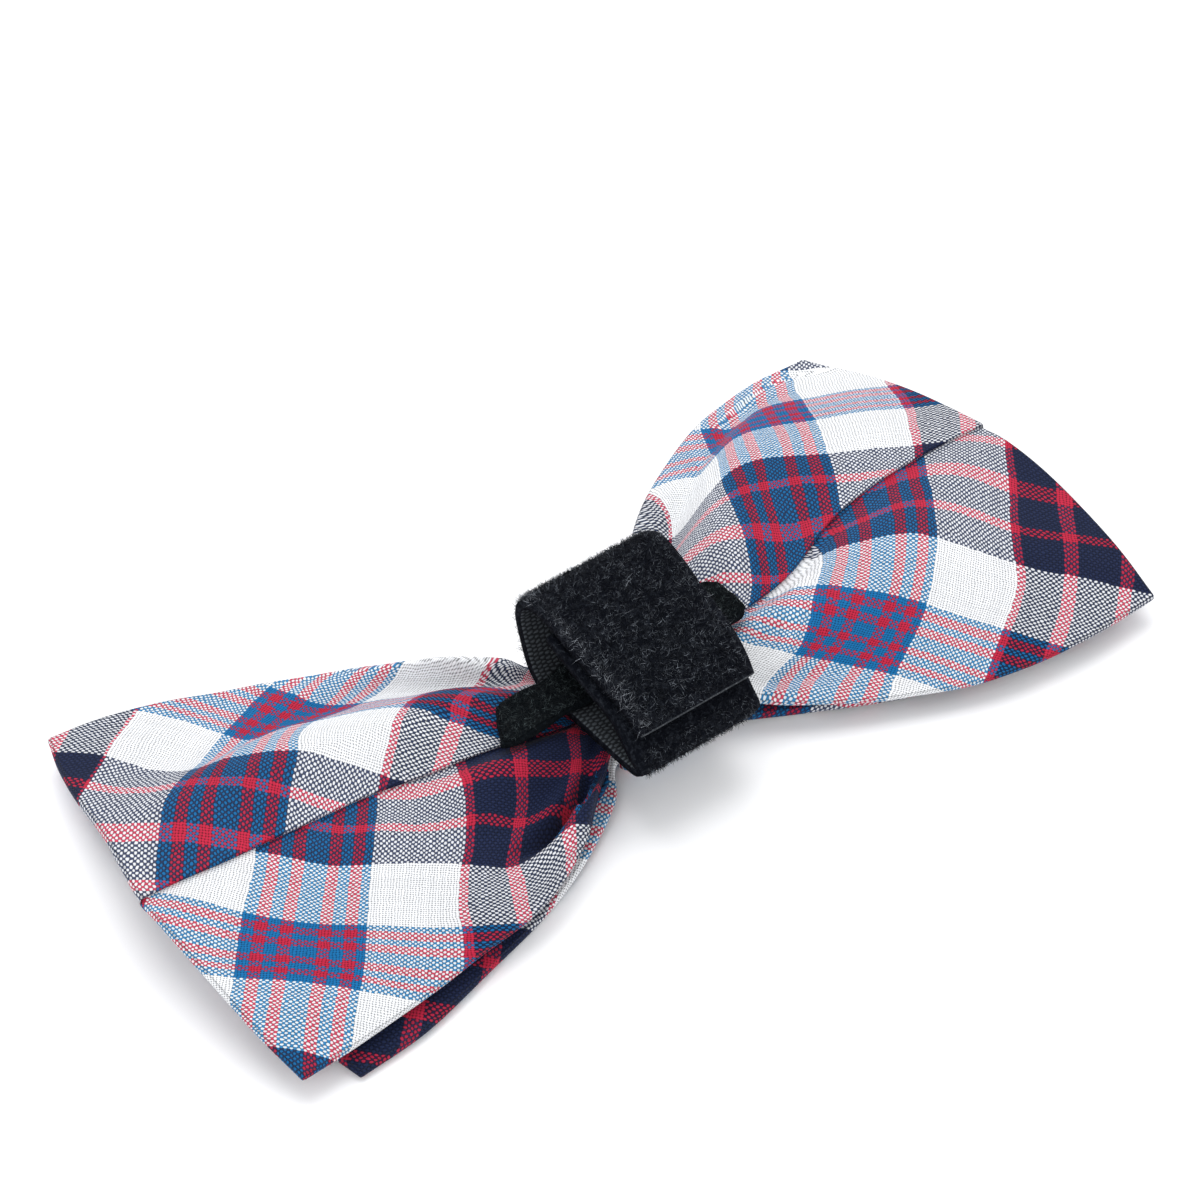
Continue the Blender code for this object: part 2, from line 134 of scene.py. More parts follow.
# Where the fold lines and the lines halfway between lie on the flat cloth, at each wing's stations
# and halfway between, in millimetres across the warp stripes and across the weft stripes. The cloth
# is cut on the bias, and the pleats take some up. Each row holds its pairs from the far side to the
# near one and starts a line, and the left wing's rows come first.
FAR_CLOTH = [
    -19.6, -8.7, -18.3, -11.3, -16.8, -14.0, -14.6, -16.8, -12.4, -19.3, -9.4, -21.9, -6.7, -24.5, -5.2,
    -26.7, -4.1, -28.8, -3.0, -30.8, -1.9, -33.1,
    -16.5, -4.8, -14.8, -7.7, -12.9, -10.7, -10.9, -12.9, -8.3, -14.7, -5.1, -17.7, -1.7, -21.0, 0.0,
    -23.2, 1.4, -25.3, 2.8, -27.4, 4.3, -29.3,
    -13.3, -0.7, -11.3, -3.2, -8.9, -5.9, -6.9, -7.9, -4.3, -9.7, -0.8, -13.1, 3.1, -17.2, 5.4, -19.6,
    7.0, -21.4, 8.7, -23.3, 10.5, -25.2,
    -9.3, 3.7, -7.2, 1.8, -5.0, -0.2, -2.4, -1.7, 0.7, -3.8, 4.9, -7.9, 8.6, -12.5, 10.8, -15.3, 12.7,
    -16.9, 14.7, -18.7, 16.8, -20.4,
    -5.1, 8.4, -2.9, 7.3, -0.8, 6.1, 1.8, 4.9, 5.7, 2.3, 10.8, -2.4, 14.3, -7.7, 16.1, -11.1, 18.4, -12.6,
    20.8, -14.1, 23.3, -15.7,
    -0.1, 13.3, 1.5, 13.0, 3.6, 12.0, 5.9, 10.8, 10.0, 7.7, 15.4, 2.2, 19.6, -3.4, 22.3, -7.0, 24.4, -8.3,
    26.9, -10.1, 29.1, -11.8,
    4.9, 17.7, 6.1, 17.9, 7.9, 17.7, 10.3, 16.0, 14.4, 11.9, 20.1, 5.3, 24.5, 0.1, 27.5, -2.8, 29.5, -3.9,
    31.6, -5.9, 33.8, -8.0,
    9.6, 20.6, 10.8, 21.2, 12.2, 21.8, 14.4, 19.8, 18.2, 15.1, 24.1, 8.3, 28.6, 3.7, 31.4, 1.3, 32.8, 0.2,
    35.0, -1.9, 37.3, -4.0,
    14.8, 22.1, 16.0, 22.4, 17.3, 23.1, 19.3, 21.5, 22.3, 17.3, 27.4, 11.6, 31.9, 7.5, 34.5, 4.9, 36.1,
    3.8, 38.1, 1.8, 40.3, -0.4,
    21.2, 22.1, 22.3, 22.0, 23.7, 22.1, 25.4, 20.7, 27.6, 17.7, 31.2, 13.8, 35.2, 10.2, 37.6, 8.0, 39.5,
    6.5, 41.3, 4.5, 43.2, 2.4,
    27.3, 21.6, 28.2, 21.2, 29.4, 20.6, 31.0, 19.2, 32.6, 17.2, 35.0, 15.0, 37.8, 12.8, 40.0, 11.0, 42.0,
    9.4, 43.9, 7.3, 45.6, 5.4,
    43.3, 39.0, 43.8, 38.1, 44.4, 37.0, 45.1, 35.4, 45.8, 33.5, 46.7, 31.4, 47.9, 29.0, 48.9, 26.8, 50.0,
    24.6, 51.4, 22.4, 52.9, 20.5,
    43.7, 45.5, 44.0, 44.3, 44.4, 42.8, 45.3, 41.0, 46.5, 38.9, 48.4, 36.1, 50.2, 32.9, 51.3, 30.1, 52.4,
    27.4, 54.2, 24.6, 56.2, 22.2,
    44.7, 52.0, 44.7, 50.4, 44.9, 48.8, 45.6, 47.1, 47.2, 45.0, 50.1, 41.5, 52.7, 37.3, 54.0, 33.6, 55.0,
    30.6, 56.9, 27.4, 59.3, 24.5,
    47.1, 57.8, 46.7, 55.7, 47.0, 53.8, 47.6, 52.4, 49.3, 50.8, 52.5, 47.6, 55.4, 42.4, 56.8, 37.0, 58.1,
    33.3, 60.1, 30.3, 62.7, 27.2,
    50.6, 62.9, 50.8, 60.8, 51.3, 59.0, 51.9, 57.6, 53.4, 56.5, 56.1, 53.0, 58.7, 46.8, 60.1, 40.8, 61.8,
    36.9, 64.6, 34.0, 67.1, 30.6,
    54.7, 68.2, 55.5, 66.8, 56.3, 65.2, 57.0, 63.6, 58.2, 62.8, 59.9, 59.0, 62.1, 52.0, 63.8, 45.9, 66.4,
    41.7, 68.8, 38.1, 71.0, 34.3,
    59.2, 73.5, 60.3, 72.8, 61.1, 71.8, 61.8, 71.1, 62.9, 70.1, 64.4, 66.3, 66.2, 59.6, 68.0, 52.1, 70.5,
    46.7, 72.6, 42.0, 75.0, 38.3,
    63.7, 77.7, 65.0, 77.2, 66.1, 76.8, 66.9, 77.4, 68.2, 76.5, 70.1, 73.0, 72.0, 66.6, 73.3, 58.1, 75.2,
    51.7, 77.3, 46.5, 80.2, 42.2,
    68.3, 81.3, 69.5, 80.9, 70.7, 80.9, 71.7, 81.8, 73.4, 80.8, 75.5, 77.1, 77.5, 70.5, 78.6, 61.8, 80.4,
    55.2, 83.1, 50.3, 86.1, 46.2,
    73.0, 83.9, 74.3, 83.6, 75.5, 83.4, 76.8, 84.0, 78.5, 82.6, 81.0, 78.5, 83.3, 71.8, 84.6, 64.5, 86.2,
    58.3, 88.7, 53.5, 91.2, 49.6,
    77.6, 86.3, 79.1, 85.6, 80.6, 84.6, 82.3, 84.0, 84.2, 82.2, 86.6, 78.2, 88.7, 72.2, 89.9, 66.5, 91.3,
    61.4, 93.4, 57.2, 95.8, 53.4,
]
NEAR_CLOTH = [
    -12.7, 10.4, -10.0, 7.9, -7.3, 5.4, -4.8, 2.4, -2.3, -1.3, 0.9, -5.6, 4.1, -9.5, 6.7, -12.5, 9.1,
    -14.7,
    -7.0, 16.8, -4.6, 14.4, -1.9, 11.9, 0.6, 9.0, 3.3, 5.0, 6.1, 0.3, 9.1, -3.9, 11.8, -6.8, 14.4, -9.0,
    -1.1, 23.2, 1.0, 21.3, 3.4, 19.0, 6.1, 15.7, 8.8, 11.7, 11.4, 6.8, 14.0, 2.5, 16.8, -0.6, 19.3, -3.4,
    5.1, 28.6, 7.3, 26.9, 9.5, 24.8, 12.0, 21.9, 14.4, 17.9, 16.9, 13.5, 19.4, 9.2, 21.7, 5.5, 23.8, 2.2,
    11.2, 33.5, 13.4, 31.7, 15.8, 28.3, 18.0, 25.8, 20.3, 22.6, 22.8, 18.9, 25.2, 14.7, 26.5, 10.8, 27.9,
    7.2,
    17.9, 37.4, 19.6, 35.6, 21.4, 32.8, 23.8, 28.4, 26.2, 25.1, 29.0, 22.2, 30.8, 18.1, 31.7, 14.4, 32.4,
    11.4,
    24.7, 39.2, 25.9, 36.9, 27.0, 34.6, 28.9, 29.9, 31.7, 26.8, 34.9, 23.9, 36.1, 20.4, 36.9, 17.4, 37.3,
    15.3,
    29.3, 40.1, 30.1, 37.8, 30.8, 36.0, 32.4, 32.7, 35.6, 28.7, 38.7, 24.4, 40.2, 21.1, 40.9, 19.2, 41.4,
    18.1,
    32.7, 41.6, 33.7, 40.2, 34.5, 38.4, 36.2, 34.8, 38.7, 30.7, 41.4, 26.7, 43.1, 23.8, 43.7, 22.5, 44.2,
    21.7,
    36.2, 43.6, 37.4, 42.4, 38.2, 40.8, 39.1, 37.9, 40.9, 34.7, 43.3, 31.5, 44.5, 28.8, 45.0, 27.7, 45.5,
    27.2,
    39.7, 45.4, 40.8, 44.2, 41.9, 42.9, 42.6, 40.9, 43.5, 38.8, 44.2, 36.7, 44.7, 35.0, 45.2, 34.0, 45.8,
    33.5,
    46.4, 59.1, 47.5, 58.2, 48.7, 57.3, 50.0, 56.1, 51.5, 54.8, 53.1, 53.7, 54.5, 52.7, 55.5, 51.7, 56.4,
    50.8,
    49.2, 63.0, 50.1, 62.1, 51.1, 61.1, 52.4, 59.6, 54.2, 58.4, 56.6, 56.7, 59.2, 54.3, 60.8, 52.1, 62.2,
    51.2,
    52.2, 67.7, 53.0, 66.6, 53.9, 65.5, 55.2, 64.5, 56.8, 63.0, 59.2, 60.6, 63.6, 57.4, 65.8, 54.2, 67.5,
    52.3,
    55.1, 73.7, 55.8, 71.9, 56.6, 69.6, 58.2, 68.1, 60.1, 66.6, 62.7, 64.1, 66.7, 60.6, 69.8, 57.3, 72.1,
    54.6,
    57.9, 80.9, 58.2, 78.7, 59.3, 75.4, 61.5, 72.3, 63.7, 70.2, 66.5, 67.4, 70.2, 64.0, 73.7, 60.8, 76.4,
    57.5,
    60.3, 88.6, 60.9, 86.1, 62.3, 82.5, 64.9, 78.4, 67.6, 74.7, 70.8, 71.7, 74.5, 68.5, 78.5, 65.1, 82.3,
    61.5,
    63.4, 94.0, 64.8, 91.0, 66.6, 87.1, 69.3, 82.7, 72.5, 79.3, 75.8, 76.4, 79.3, 73.4, 83.9, 69.7, 88.3,
    65.8,
    67.8, 97.2, 69.8, 93.2, 71.8, 89.3, 74.7, 86.4, 78.0, 84.3, 81.5, 81.8, 84.5, 78.6, 88.8, 74.4, 92.9,
    70.2,
    73.0, 99.5, 75.4, 96.1, 77.7, 93.2, 81.2, 91.2, 84.9, 89.4, 87.6, 86.7, 89.8, 83.5, 93.1, 79.4, 97.0,
    75.0,
    77.9, 103.3, 80.9, 100.6, 83.8, 98.3, 87.1, 96.4, 90.3, 94.1, 92.4, 90.7, 94.9, 87.0, 97.9, 83.5,
    101.3, 79.7,
    83.0, 108.0, 86.5, 106.0, 89.8, 103.7, 92.3, 101.1, 94.8, 98.1, 97.5, 94.3, 100.1, 90.3, 102.6, 87.3,
    105.7, 84.4,
]
# Creases and crests on the sheet: plan path with the drop in millimetres at each point, and width.
CREASES = [
    (1.15, [(-9.0, -8.0, 0.6), (-11.4, -9.8, 3.0), (-14.9, -12.0, 4.2), (-18.9, -13.6, 3.8),
            (-23.4, -14.8, 2.0), (-27.5, -15.6, 0.7), (-32.0, -17.0, 0.0)]),
    (1.1, [(-12.0, -11.8, -0.6), (-15.8, -14.2, -1.2), (-19.5, -15.8, -1.1), (-23.4, -17.0, -0.6),
           (-29.0, -18.6, 0.0)]),
    (1.1, [(-11.0, -7.6, -0.5), (-15.0, -9.8, -0.9), (-19.1, -11.6, -0.8), (-23.3, -13.0, -0.3),
           (-28.0, -14.0, 0.0)]),
    (2.2, [(-56.0, 20.2, 0.0), (-51.2, 20.3, 0.4), (-47.3, 19.7, 0.8), (-41.8, 19.8, 1.0),
           (-36.4, 19.6, 0.9), (-30.2, 17.7, 0.4), (-25.0, 14.0, 0.0)]),
    (1.5, [(-55.0, 16.0, 0.0), (-49.8, 15.6, -0.35), (-44.1, 15.9, -0.5), (-38.6, 16.0, -0.4),
           (-31.0, 13.5, 0.0)]),
    (2.0, [(28.0, 22.0, 0.0), (34.0, 24.6, 0.7), (38.3, 26.4, 1.1), (43.5, 27.6, 1.0),
           (49.0, 25.6, 0.5), (56.0, 22.6, 0.0)]),
    (1.5, [(28.9, 19.6, -0.1), (34.0, 21.5, -0.4), (38.3, 23.0, -0.5), (42.5, 24.7, -0.4),
           (50.0, 22.0, 0.0)]),
    (1.0, [(-8.0, 8.3, 0.2), (-13.0, 11.0, 0.7), (-18.0, 12.6, 0.6), (-24.0, 15.0, 0.0)]),
    (0.9, [(-9.0, 4.6, 0.2), (-14.0, 5.6, 0.35), (-20.0, 7.5, 0.0)]),
    (0.9, [(9.0, 5.0, 0.2), (14.0, 6.3, 0.5), (21.0, 8.6, 0.0)]),
    (1.2, [(10.0, -5.5, 0.3), (15.0, -6.6, 0.6), (22.0, -9.0, 0.3), (28.0, -11.5, 0.0)]),
    (1.0, [(10.0, -9.0, 0.2), (15.0, -11.5, 0.6), (21.0, -14.5, 0.5), (28.0, -18.0, 0.0)]),
]


def smooth(values, count):
    """Catmull-Rom curve through the rows of values, with count steps between each pair."""
    values = np.asarray(values, float)
    run = np.concatenate([[2 * values[0] - values[1]], values, [2 * values[-1] - values[-2]]])
    t = (np.arange(count) / count).reshape(-1, *[1] * (values.ndim - 1))
    out = []
    for k in range(len(values) - 1):
        a, b, c, d = run[k : k + 4]
        square = (2 * a - 5 * b + 4 * c - d) * t**2
        cube = (3 * b - a - 3 * c + d) * t**3
        out.append(0.5 * (2 * b + (c - a) * t + square + cube))
    return np.concatenate([*out, values[-1:]])


def with_waist(cloth, lines):
    """A cloth table's pairs, with rows under the strap evened out between the two wings' rows."""
    left, right = np.reshape(cloth, (2, -1, lines, 2))
    between = [left[-1] * (1 - share) + right[0] * share for share in (0.18, 0.36, 0.50, 0.64, 0.82)]
    return np.concatenate([left, between, right])


def wing_rows(across, rise, reach, base):
    """Sections of one wing from its tables, with each fold line's end at its own reach."""
    across = np.array(across)
    station = across[:, :1]
    x = station * HALF_LENGTH * (1 + (np.array(reach) - 1) * station**2)
    return np.stack([x, across[:, 1:] * HALF_HEIGHT, base + np.array(rise) * PUFF], axis=2)


def waist_row(x, row, base, swell):
    """One gathered section at x, its pleats or its swell above the base."""
    across, rise = np.array(row)
    return np.stack([np.full(across.shape, x), across * WAIST_HALF, base + rise * swell], axis=1)


def bow_layer(left, right, base, waist, waist_base, shoulders):
    """Sections of one layer in millimetres, left to right, with the gathered waist between."""
    rows = list(wing_rows(*left, base))
    rows.append(waist_row(-SHOULDER_END, shoulders[0], waist_base, SHOULDER_SWELL))
    rows.append(waist_row(-WAIST_END, waist, waist_base, PLEAT))
    rows.append(waist_row(WAIST_END, waist, waist_base, PLEAT))
    rows.append(waist_row(SHOULDER_END, shoulders[1], waist_base, SHOULDER_SWELL))
    return np.array(rows + list(wing_rows(*right, base)))


def resampled(grid, step):
    """Rows spaced evenly along X, about step apart at the middle of the sheet."""
    middle = grid[:, grid.shape[1] // 2, 0]
    count = int(round((middle[-1] - middle[0]) / step))
    at = np.interp(np.linspace(middle[0], middle[-1], count + 1), middle, np.arange(len(grid)))
    low = np.minimum(at.astype(int), len(grid) - 2)
    part = (at - low)[:, None, None]
    return grid[low] * (1 - part) + grid[low + 1] * part


def creased(top, creases):
    """Lowers the sheet along each crease, softly to both sides of its path."""
    for width, path in creases:
        path = np.array(path)
        nearest = np.full(top.shape[:2], 1e9)
        drop = np.zeros(top.shape[:2])
        for a, b in zip(path, path[1:]):
            run = b[:2] - a[:2]
            share = np.clip(((top[..., :2] - a[:2]) @ run) / (run @ run), 0, 1)
            away = np.linalg.norm(top[..., :2] - a[:2] - share[..., None] * run, axis=2)
            closer = away < nearest
            nearest = np.where(closer, away, nearest)
            drop = np.where(closer, a[2] + (b[2] - a[2]) * share, drop)
        top[..., 2] -= drop * np.exp(-((nearest / width) ** 2))
    return top


def beside(edge, inner):
    """A row close inside an edge, on the way to the next row in."""
    return edge * 0.85 + inner * 0.15


def held(grid):
    """Adds a row close inside each of the four edges, so that the rim's shading stays on the rim."""
    for _ in range(2):
        first, last = beside(grid[:1], grid[1:2]), beside(grid[-1:], grid[-2:-1])
        grid = np.concatenate([grid[:1], first, grid[1:-1], last, grid[-1:]]).transpose(1, 0, 2)
    return grid


def numbered(rows, cols):
    """A grid's point numbers, those round its border in order, and its faces."""
    ids = np.arange(rows * cols).reshape(rows, cols)
    loop = np.concatenate([ids[0, :], ids[1:, -1], ids[-1, -2::-1], ids[-2:0:-1, 0]])
    quads = np.stack([ids[:-1, :-1], ids[1:, :-1], ids[1:, 1:], ids[:-1, 1:]], axis=-1)
    return ids, loop, quads.reshape(-1, 4)


def cloth_mesh(name, points, faces, corner_uv):
    """A smooth mesh of points in millimetres, with each corner's place on the flat cloth."""
    mesh = bpy.data.meshes.new(name)
    mesh.from_pydata((points / 1000 + SHIFT).tolist(), [], faces.tolist())
    layer = mesh.uv_layers.new(name="cloth")
    layer.data.foreach_set("uv", corner_uv.astype(np.float32).ravel())
    mesh.shade_smooth()
    return mesh


def unit(vectors):
    return vectors / np.maximum(np.linalg.norm(vectors, axis=-1, keepdims=True), 1e-9)


def closed_slab(name, top, thick, uv, under=(0.0, 0.0)):
    """A closed sheet: the top grid, the same grid a thickness below, and a rounded rim.

    The lower side shows the flat cloth's pattern moved along by under."""
    top, uv = held(top), held(uv)
    rows, cols = top.shape[:2]
    normal = np.cross(np.gradient(top, axis=0), np.gradient(top, axis=1))
    normal = unit(normal * np.sign(normal[..., 2:].mean()))
    # A narrow fold doesn't turn the thickness: each spot takes the middle one of its neighbours'.
    wide = np.pad(normal, ((0, 0), (8, 8), (0, 0)), mode="edge")
    normal = unit(np.median([wide[:, k : k + cols] for k in range(17)], axis=0))
    ids, loop, quads = numbered(rows, cols)
    quads = quads[:, [0, 3, 2, 1]]
    inward = ids.copy()
    inward[0], inward[-1] = ids[1], ids[-2]
    inward[:, 0], inward[:, -1] = inward[:, 1], inward[:, -2]
    inside = inward.reshape(-1)[loop]
    flat_top, flat_normal, flat_uv = top.reshape(-1, 3), normal.reshape(-1, 3), uv.reshape(-1, 2)
    edge, edge_normal = flat_top[loop], flat_normal[loop]
    outward = edge - flat_top[inside]
    reach = np.linalg.norm(outward, axis=1, keepdims=True)
    uv_slope = (flat_uv[loop] - flat_uv[inside]) / np.maximum(reach, 0.01)
    uv_slope /= np.maximum(np.linalg.norm(uv_slope, axis=1, keepdims=True), 1.0)
    outward = unit(outward - (outward * edge_normal).sum(axis=1, keepdims=True) * edge_normal)
    bulge = thick * 0.34
    rings, ring_uv = [], []
    for angle in np.radians((36, 72, 108, 144)):
        rings.append(edge + outward * bulge * math.sin(angle)
                     - edge_normal * thick * 0.5 * (1 - math.cos(angle)))
        ring_uv.append(flat_uv[loop] + uv_slope * thick * 0.46 * angle)
    n, m = rows * cols, len(loop)
    points = np.concatenate([flat_top, flat_top - flat_normal * thick, *rings])
    vertex_uv = np.concatenate([flat_uv, flat_uv, *ring_uv])
    faces = [quads, quads[:, ::-1] + n]
    lower = [np.zeros(len(quads)), np.ones(len(quads))]
    chain = [loop, *[2 * n + k * m + np.arange(m) for k in range(4)], loop + n]
    for k, (a, b) in enumerate(zip(chain, chain[1:])):
        faces.append(np.stack([a, np.roll(a, -1), np.roll(b, -1), b], axis=1))
        lower.append(np.full(m, float(k > 3)))
    faces, lower = np.concatenate(faces), np.concatenate(lower)
    corners = vertex_uv[faces.ravel()] + np.repeat(lower, 4)[:, None] * np.array(under)
    mesh = cloth_mesh(name, points, faces, corners)
    if sum(p.normal.z * p.area for p in list(mesh.polygons)[: len(quads)]) < 0:
        mesh.flip_normals()
    return placed(name, mesh)


def node_maker(tree):
    """A maker of the tree's nodes, with their settings and their linked or plain inputs.

    An input is named with _ for its spaces, or is i and its number."""
    def add(kind, settings=None, **inputs):
        node = tree.nodes.new(kind)
        for key, value in (settings or {}).items():
            setattr(node, key, value)
        for key, value in inputs.items():
            slot_at = int(key[1:]) if key[0] == "i" and key[1:].isdigit() else key.replace("_", " ")
            socket = node.inputs[slot_at]
            if isinstance(value, bpy.types.NodeSocket):
                tree.links.new(value, socket)
            else:
                socket.default_value = value
        return node
    return add


def math_maker(add):
    """A maker of the tree's maths nodes."""
    def calc(operation, a, b=0.0, c=0.0):
        node = add("ShaderNodeMath", {"operation": operation}, i0=a, i1=b, i2=c)
        return node.outputs[0]
    return calc


def node_group(name, kind, sockets):
    """A group with its named sockets, its node maker, its maths maker and its given inputs."""
    tree = bpy.data.node_groups.new(name, kind)
    for way, socket_type, labels in sockets:
        for label in labels:
            tree.interface.new_socket(label, in_out=way, socket_type="NodeSocket" + socket_type)
    add = node_maker(tree)
    return tree, add, math_maker(add), add("NodeGroupInput").outputs


# Plain weave: which thread is on top, how high it stands, each thread's own place, and its shade: a painted
# shade low between the threads, with each thread's own tone.
weave, add, calc, given = node_group("plain_weave", "ShaderNodeTree", (
    ("INPUT", "Vector", ("Cloth",)),
    ("INPUT", "Float", ("Warp pitch", "Weft pitch")),
    ("OUTPUT", "Float", ("Warp at", "Weft at", "Warp on top", "Height", "Shade")),
))
wobble = add("ShaderNodeTexNoise", Vector=given["Cloth"], Scale=0.9, Detail=2.0)
nudge = add("ShaderNodeVectorMath", {"operation": "MULTIPLY_ADD"}, i0=wobble.outputs["Color"],
            i1=(0.5, 0.5, 0.0), i2=given["Cloth"])
sides = add("ShaderNodeSeparateXYZ", Vector=nudge.outputs[0]).outputs
warp_count = calc("DIVIDE", sides["X"], given["Warp pitch"])
weft_count = calc("DIVIDE", sides["Y"], given["Weft pitch"])


def thread_set(own, other, swing):
    """The threads' numbers, and their height: round across, and over and under the other set."""
    number = calc("FLOOR", own)
    off = calc("SUBTRACT", calc("FRACT", own), 0.5)
    phase = calc("MULTIPLY", calc("ADD", calc("SUBTRACT", other, 0.5), number), math.pi)
    wave = calc("MULTIPLY", calc("COSINE", phase), swing)
    return number, calc("ADD", wave, calc("MULTIPLY", calc("MULTIPLY", off, off), -3.2))


warp_number, warp_high = thread_set(warp_count, weft_count, 0.55)
weft_number, weft_high = thread_set(weft_count, warp_count, -0.55)
top_high = calc("MAXIMUM", warp_high, weft_high)
warp_share = calc("MULTIPLY_ADD", calc("SUBTRACT", warp_high, weft_high), 1.1, 0.5)
warp_share = calc("MINIMUM", calc("MAXIMUM", warp_share, 0.11), 0.89)
# Painted shade and light: a thread is painted darker low at its sides, where shade falls between the
# threads, and a little lighter on its crown; and it differs a little from its neighbours in tone.
depth_shade = calc("MINIMUM", calc("MAXIMUM", calc("MULTIPLY_ADD", top_high, 1.25, 0.81), 0.16), 1.08)
warp_own, weft_own = (
    add("ShaderNodeTexWhiteNoise", {"noise_dimensions": "1D"}, W=number).outputs["Value"]
    for number in (warp_number, calc("ADD", weft_number, 0.37))
)
own = add("ShaderNodeMix", {"data_type": "FLOAT"}, i0=warp_share, i2=weft_own, i3=warp_own)
own_shade = calc("MULTIPLY_ADD", own.outputs[0], 0.16, 0.92)
out = add("NodeGroupOutput")
links = {
    "Warp at": calc("MULTIPLY", calc("ADD", warp_number, 0.5), given["Warp pitch"]),
    "Weft at": calc("MULTIPLY", calc("ADD", weft_number, 0.5), given["Weft pitch"]),
    "Warp on top": warp_share,
    "Height": top_high,
    "Shade": calc("MULTIPLY", depth_shade, own_shade),
}
for label, socket in links.items():
    weave.links.new(socket, out.inputs[label])

# The weft's navy is painted paler than the warp's, a painted sheen on the threads' tops, which lets the
# weave show in the navy checks.
NAVY = (0.003, 0.007, 0.029)
WEFT_NAVY_PAINTED_SHEEN = (0.0125, 0.020, 0.058)
BLUE = (0.005, 0.124, 0.320)
RED = (0.430, 0.0145, 0.045)
WHITE = (0.75, 0.76, 0.78)
WARP_PERIOD = 60.4
WEFT_PERIOD = 61.0
WARP_PITCH = 0.385
WEFT_PITCH = 0.365
# Stripes of the warp and of the weft, width in millimetres and colour, in order.
WARP_STRIPES = [
    (1.4, BLUE), (1.6, RED), (1.4, BLUE), (1.6, RED), (3.1, BLUE), (1.6, RED), (1.4, BLUE), (1.6, RED),
    (1.4, BLUE), (12.0, WHITE), (0.8, RED), (5.2, NAVY), (1.9, RED), (5.6, NAVY), (2.1, RED), (5.0, NAVY),
    (0.8, RED), (11.9, WHITE),
]
WEFT_STRIPES = [
    (1.2, BLUE), (1.3, RED), (1.1, BLUE), (1.3, RED), (2.4, BLUE), (1.3, RED), (1.1, BLUE), (1.3, RED),
    (1.2, BLUE), (11.4, WHITE), (5.0, WEFT_NAVY_PAINTED_SHEEN), (1.6, RED), (5.2, WEFT_NAVY_PAINTED_SHEEN), (2.3, RED),
    (5.5, WEFT_NAVY_PAINTED_SHEEN), (1.6, RED), (5.0, WEFT_NAVY_PAINTED_SHEEN), (11.2, WHITE),
]


def striped(add, calc, position, period, stripes):
    """The root of the thread's colour at a position across the cloth, from the table of stripes."""
    share = calc("FRACT", calc("DIVIDE", position, period))
    ramp = add("ShaderNodeValToRGB", Fac=share)
    ramp.color_ramp.interpolation = "CONSTANT"
    total, at = sum(width for width, _ in stripes), 0.0
    marks = ramp.color_ramp.elements
    marks.remove(marks[-1])
    for k, (width, colour) in enumerate(stripes):
        mark = marks[0] if k == 0 else marks.new(at / total)
        mark.color = (*(value ** 0.5 for value in colour), 1.0)
        at += width
    return ramp.outputs["Color"]


def new_material(name, roughness, specular):
    """A material with its Principled inputs, its links, its node maker and its maths maker."""
    mat = bpy.data.materials.new(name)
    mat.use_nodes = True
    add = node_maker(mat.node_tree)
    shader = mat.node_tree.nodes["Principled BSDF"].inputs
    shader["Roughness"].default_value = roughness
    shader["Specular IOR Level"].default_value = specular
    return mat, shader, mat.node_tree.links, add, math_maker(add)


def colour_mix(add, share, low, high):
    """A colour between two, either of them plain or linked, by the share."""
    low, high = ((*end, 1.0) if isinstance(end, tuple) else end for end in (low, high))
    return add("ShaderNodeMix", {"data_type": "RGBA"}, i0=share, i6=low, i7=high).outputs[2]


def bumped(add, links, shader, height, distance, strength):
    bump = add("ShaderNodeBump", Height=height, Distance=distance, Strength=strength)
    links.new(bump.outputs["Normal"], shader["Normal"])


def plaid_material(name):
    """Woven stripes on the flat cloth: each thread has its own stripe's colour and stands proud."""
    mat, shader, links, add, calc = new_material(name, 0.85, 0.15)
    cloth = add("ShaderNodeUVMap", {"uv_map": "cloth"}).outputs["UV"]
    threads = add("ShaderNodeGroup", {"node_tree": weave}, Cloth=cloth, Warp_pitch=WARP_PITCH,
                  Weft_pitch=WEFT_PITCH).outputs
    warp = striped(add, calc, threads["Warp at"], WARP_PERIOD, WARP_STRIPES)
    weft = striped(add, calc, threads["Weft at"], WEFT_PERIOD, WEFT_STRIPES)
    mixed = colour_mix(add, threads["Warp on top"], weft, warp)
    fibre = add("ShaderNodeTexNoise", Vector=cloth, Scale=5.5, Detail=3.0).outputs["Fac"]
    patch = add("ShaderNodeTexNoise", Vector=cloth, Scale=0.11, Detail=2.0).outputs["Fac"]
    # The tone carries the weave's painted shade between the threads, with fibre and patch noise.
    tone = calc("MULTIPLY", threads["Shade"], calc("MULTIPLY_ADD", fibre, 0.24, 0.88))
    tone = calc("MULTIPLY", tone, calc("MULTIPLY_ADD", patch, 0.10, 0.95))
    # Roots are mixed and then squared, so that a thread's dark neighbours show through it.
    full = add("ShaderNodeVectorMath", {"operation": "MULTIPLY"}, i0=mixed, i1=mixed)
    lit = add("ShaderNodeVectorMath", {"operation": "SCALE"}, i0=full.outputs[0], Scale=tone)
    links.new(lit.outputs[0], shader["Base Color"])
    bumped(add, links, shader, threads["Height"], 0.00005, 0.5)
    shader["Sheen Weight"].default_value = 0.04
    return mat


def spread(values, along, across):
    """Splines a table of stations and fold lines into a fine grid."""
    return smooth(smooth(values, along).transpose(1, 0, 2), across).transpose(1, 0, 2)


def past_seam(cloth, before, after):
    """A flap's cloth table carried straight on past its seam, to cover all the fold lines."""
    ahead = cloth[:, :1] + (cloth[:, :1] - cloth[:, 1:2]) * np.arange(before, 0, -1)[:, None]
    behind = cloth[:, -1:] + (cloth[:, -1:] - cloth[:, -2:-1]) * np.arange(1, after + 1)[:, None]
    return np.concatenate([ahead, cloth, behind], axis=1)


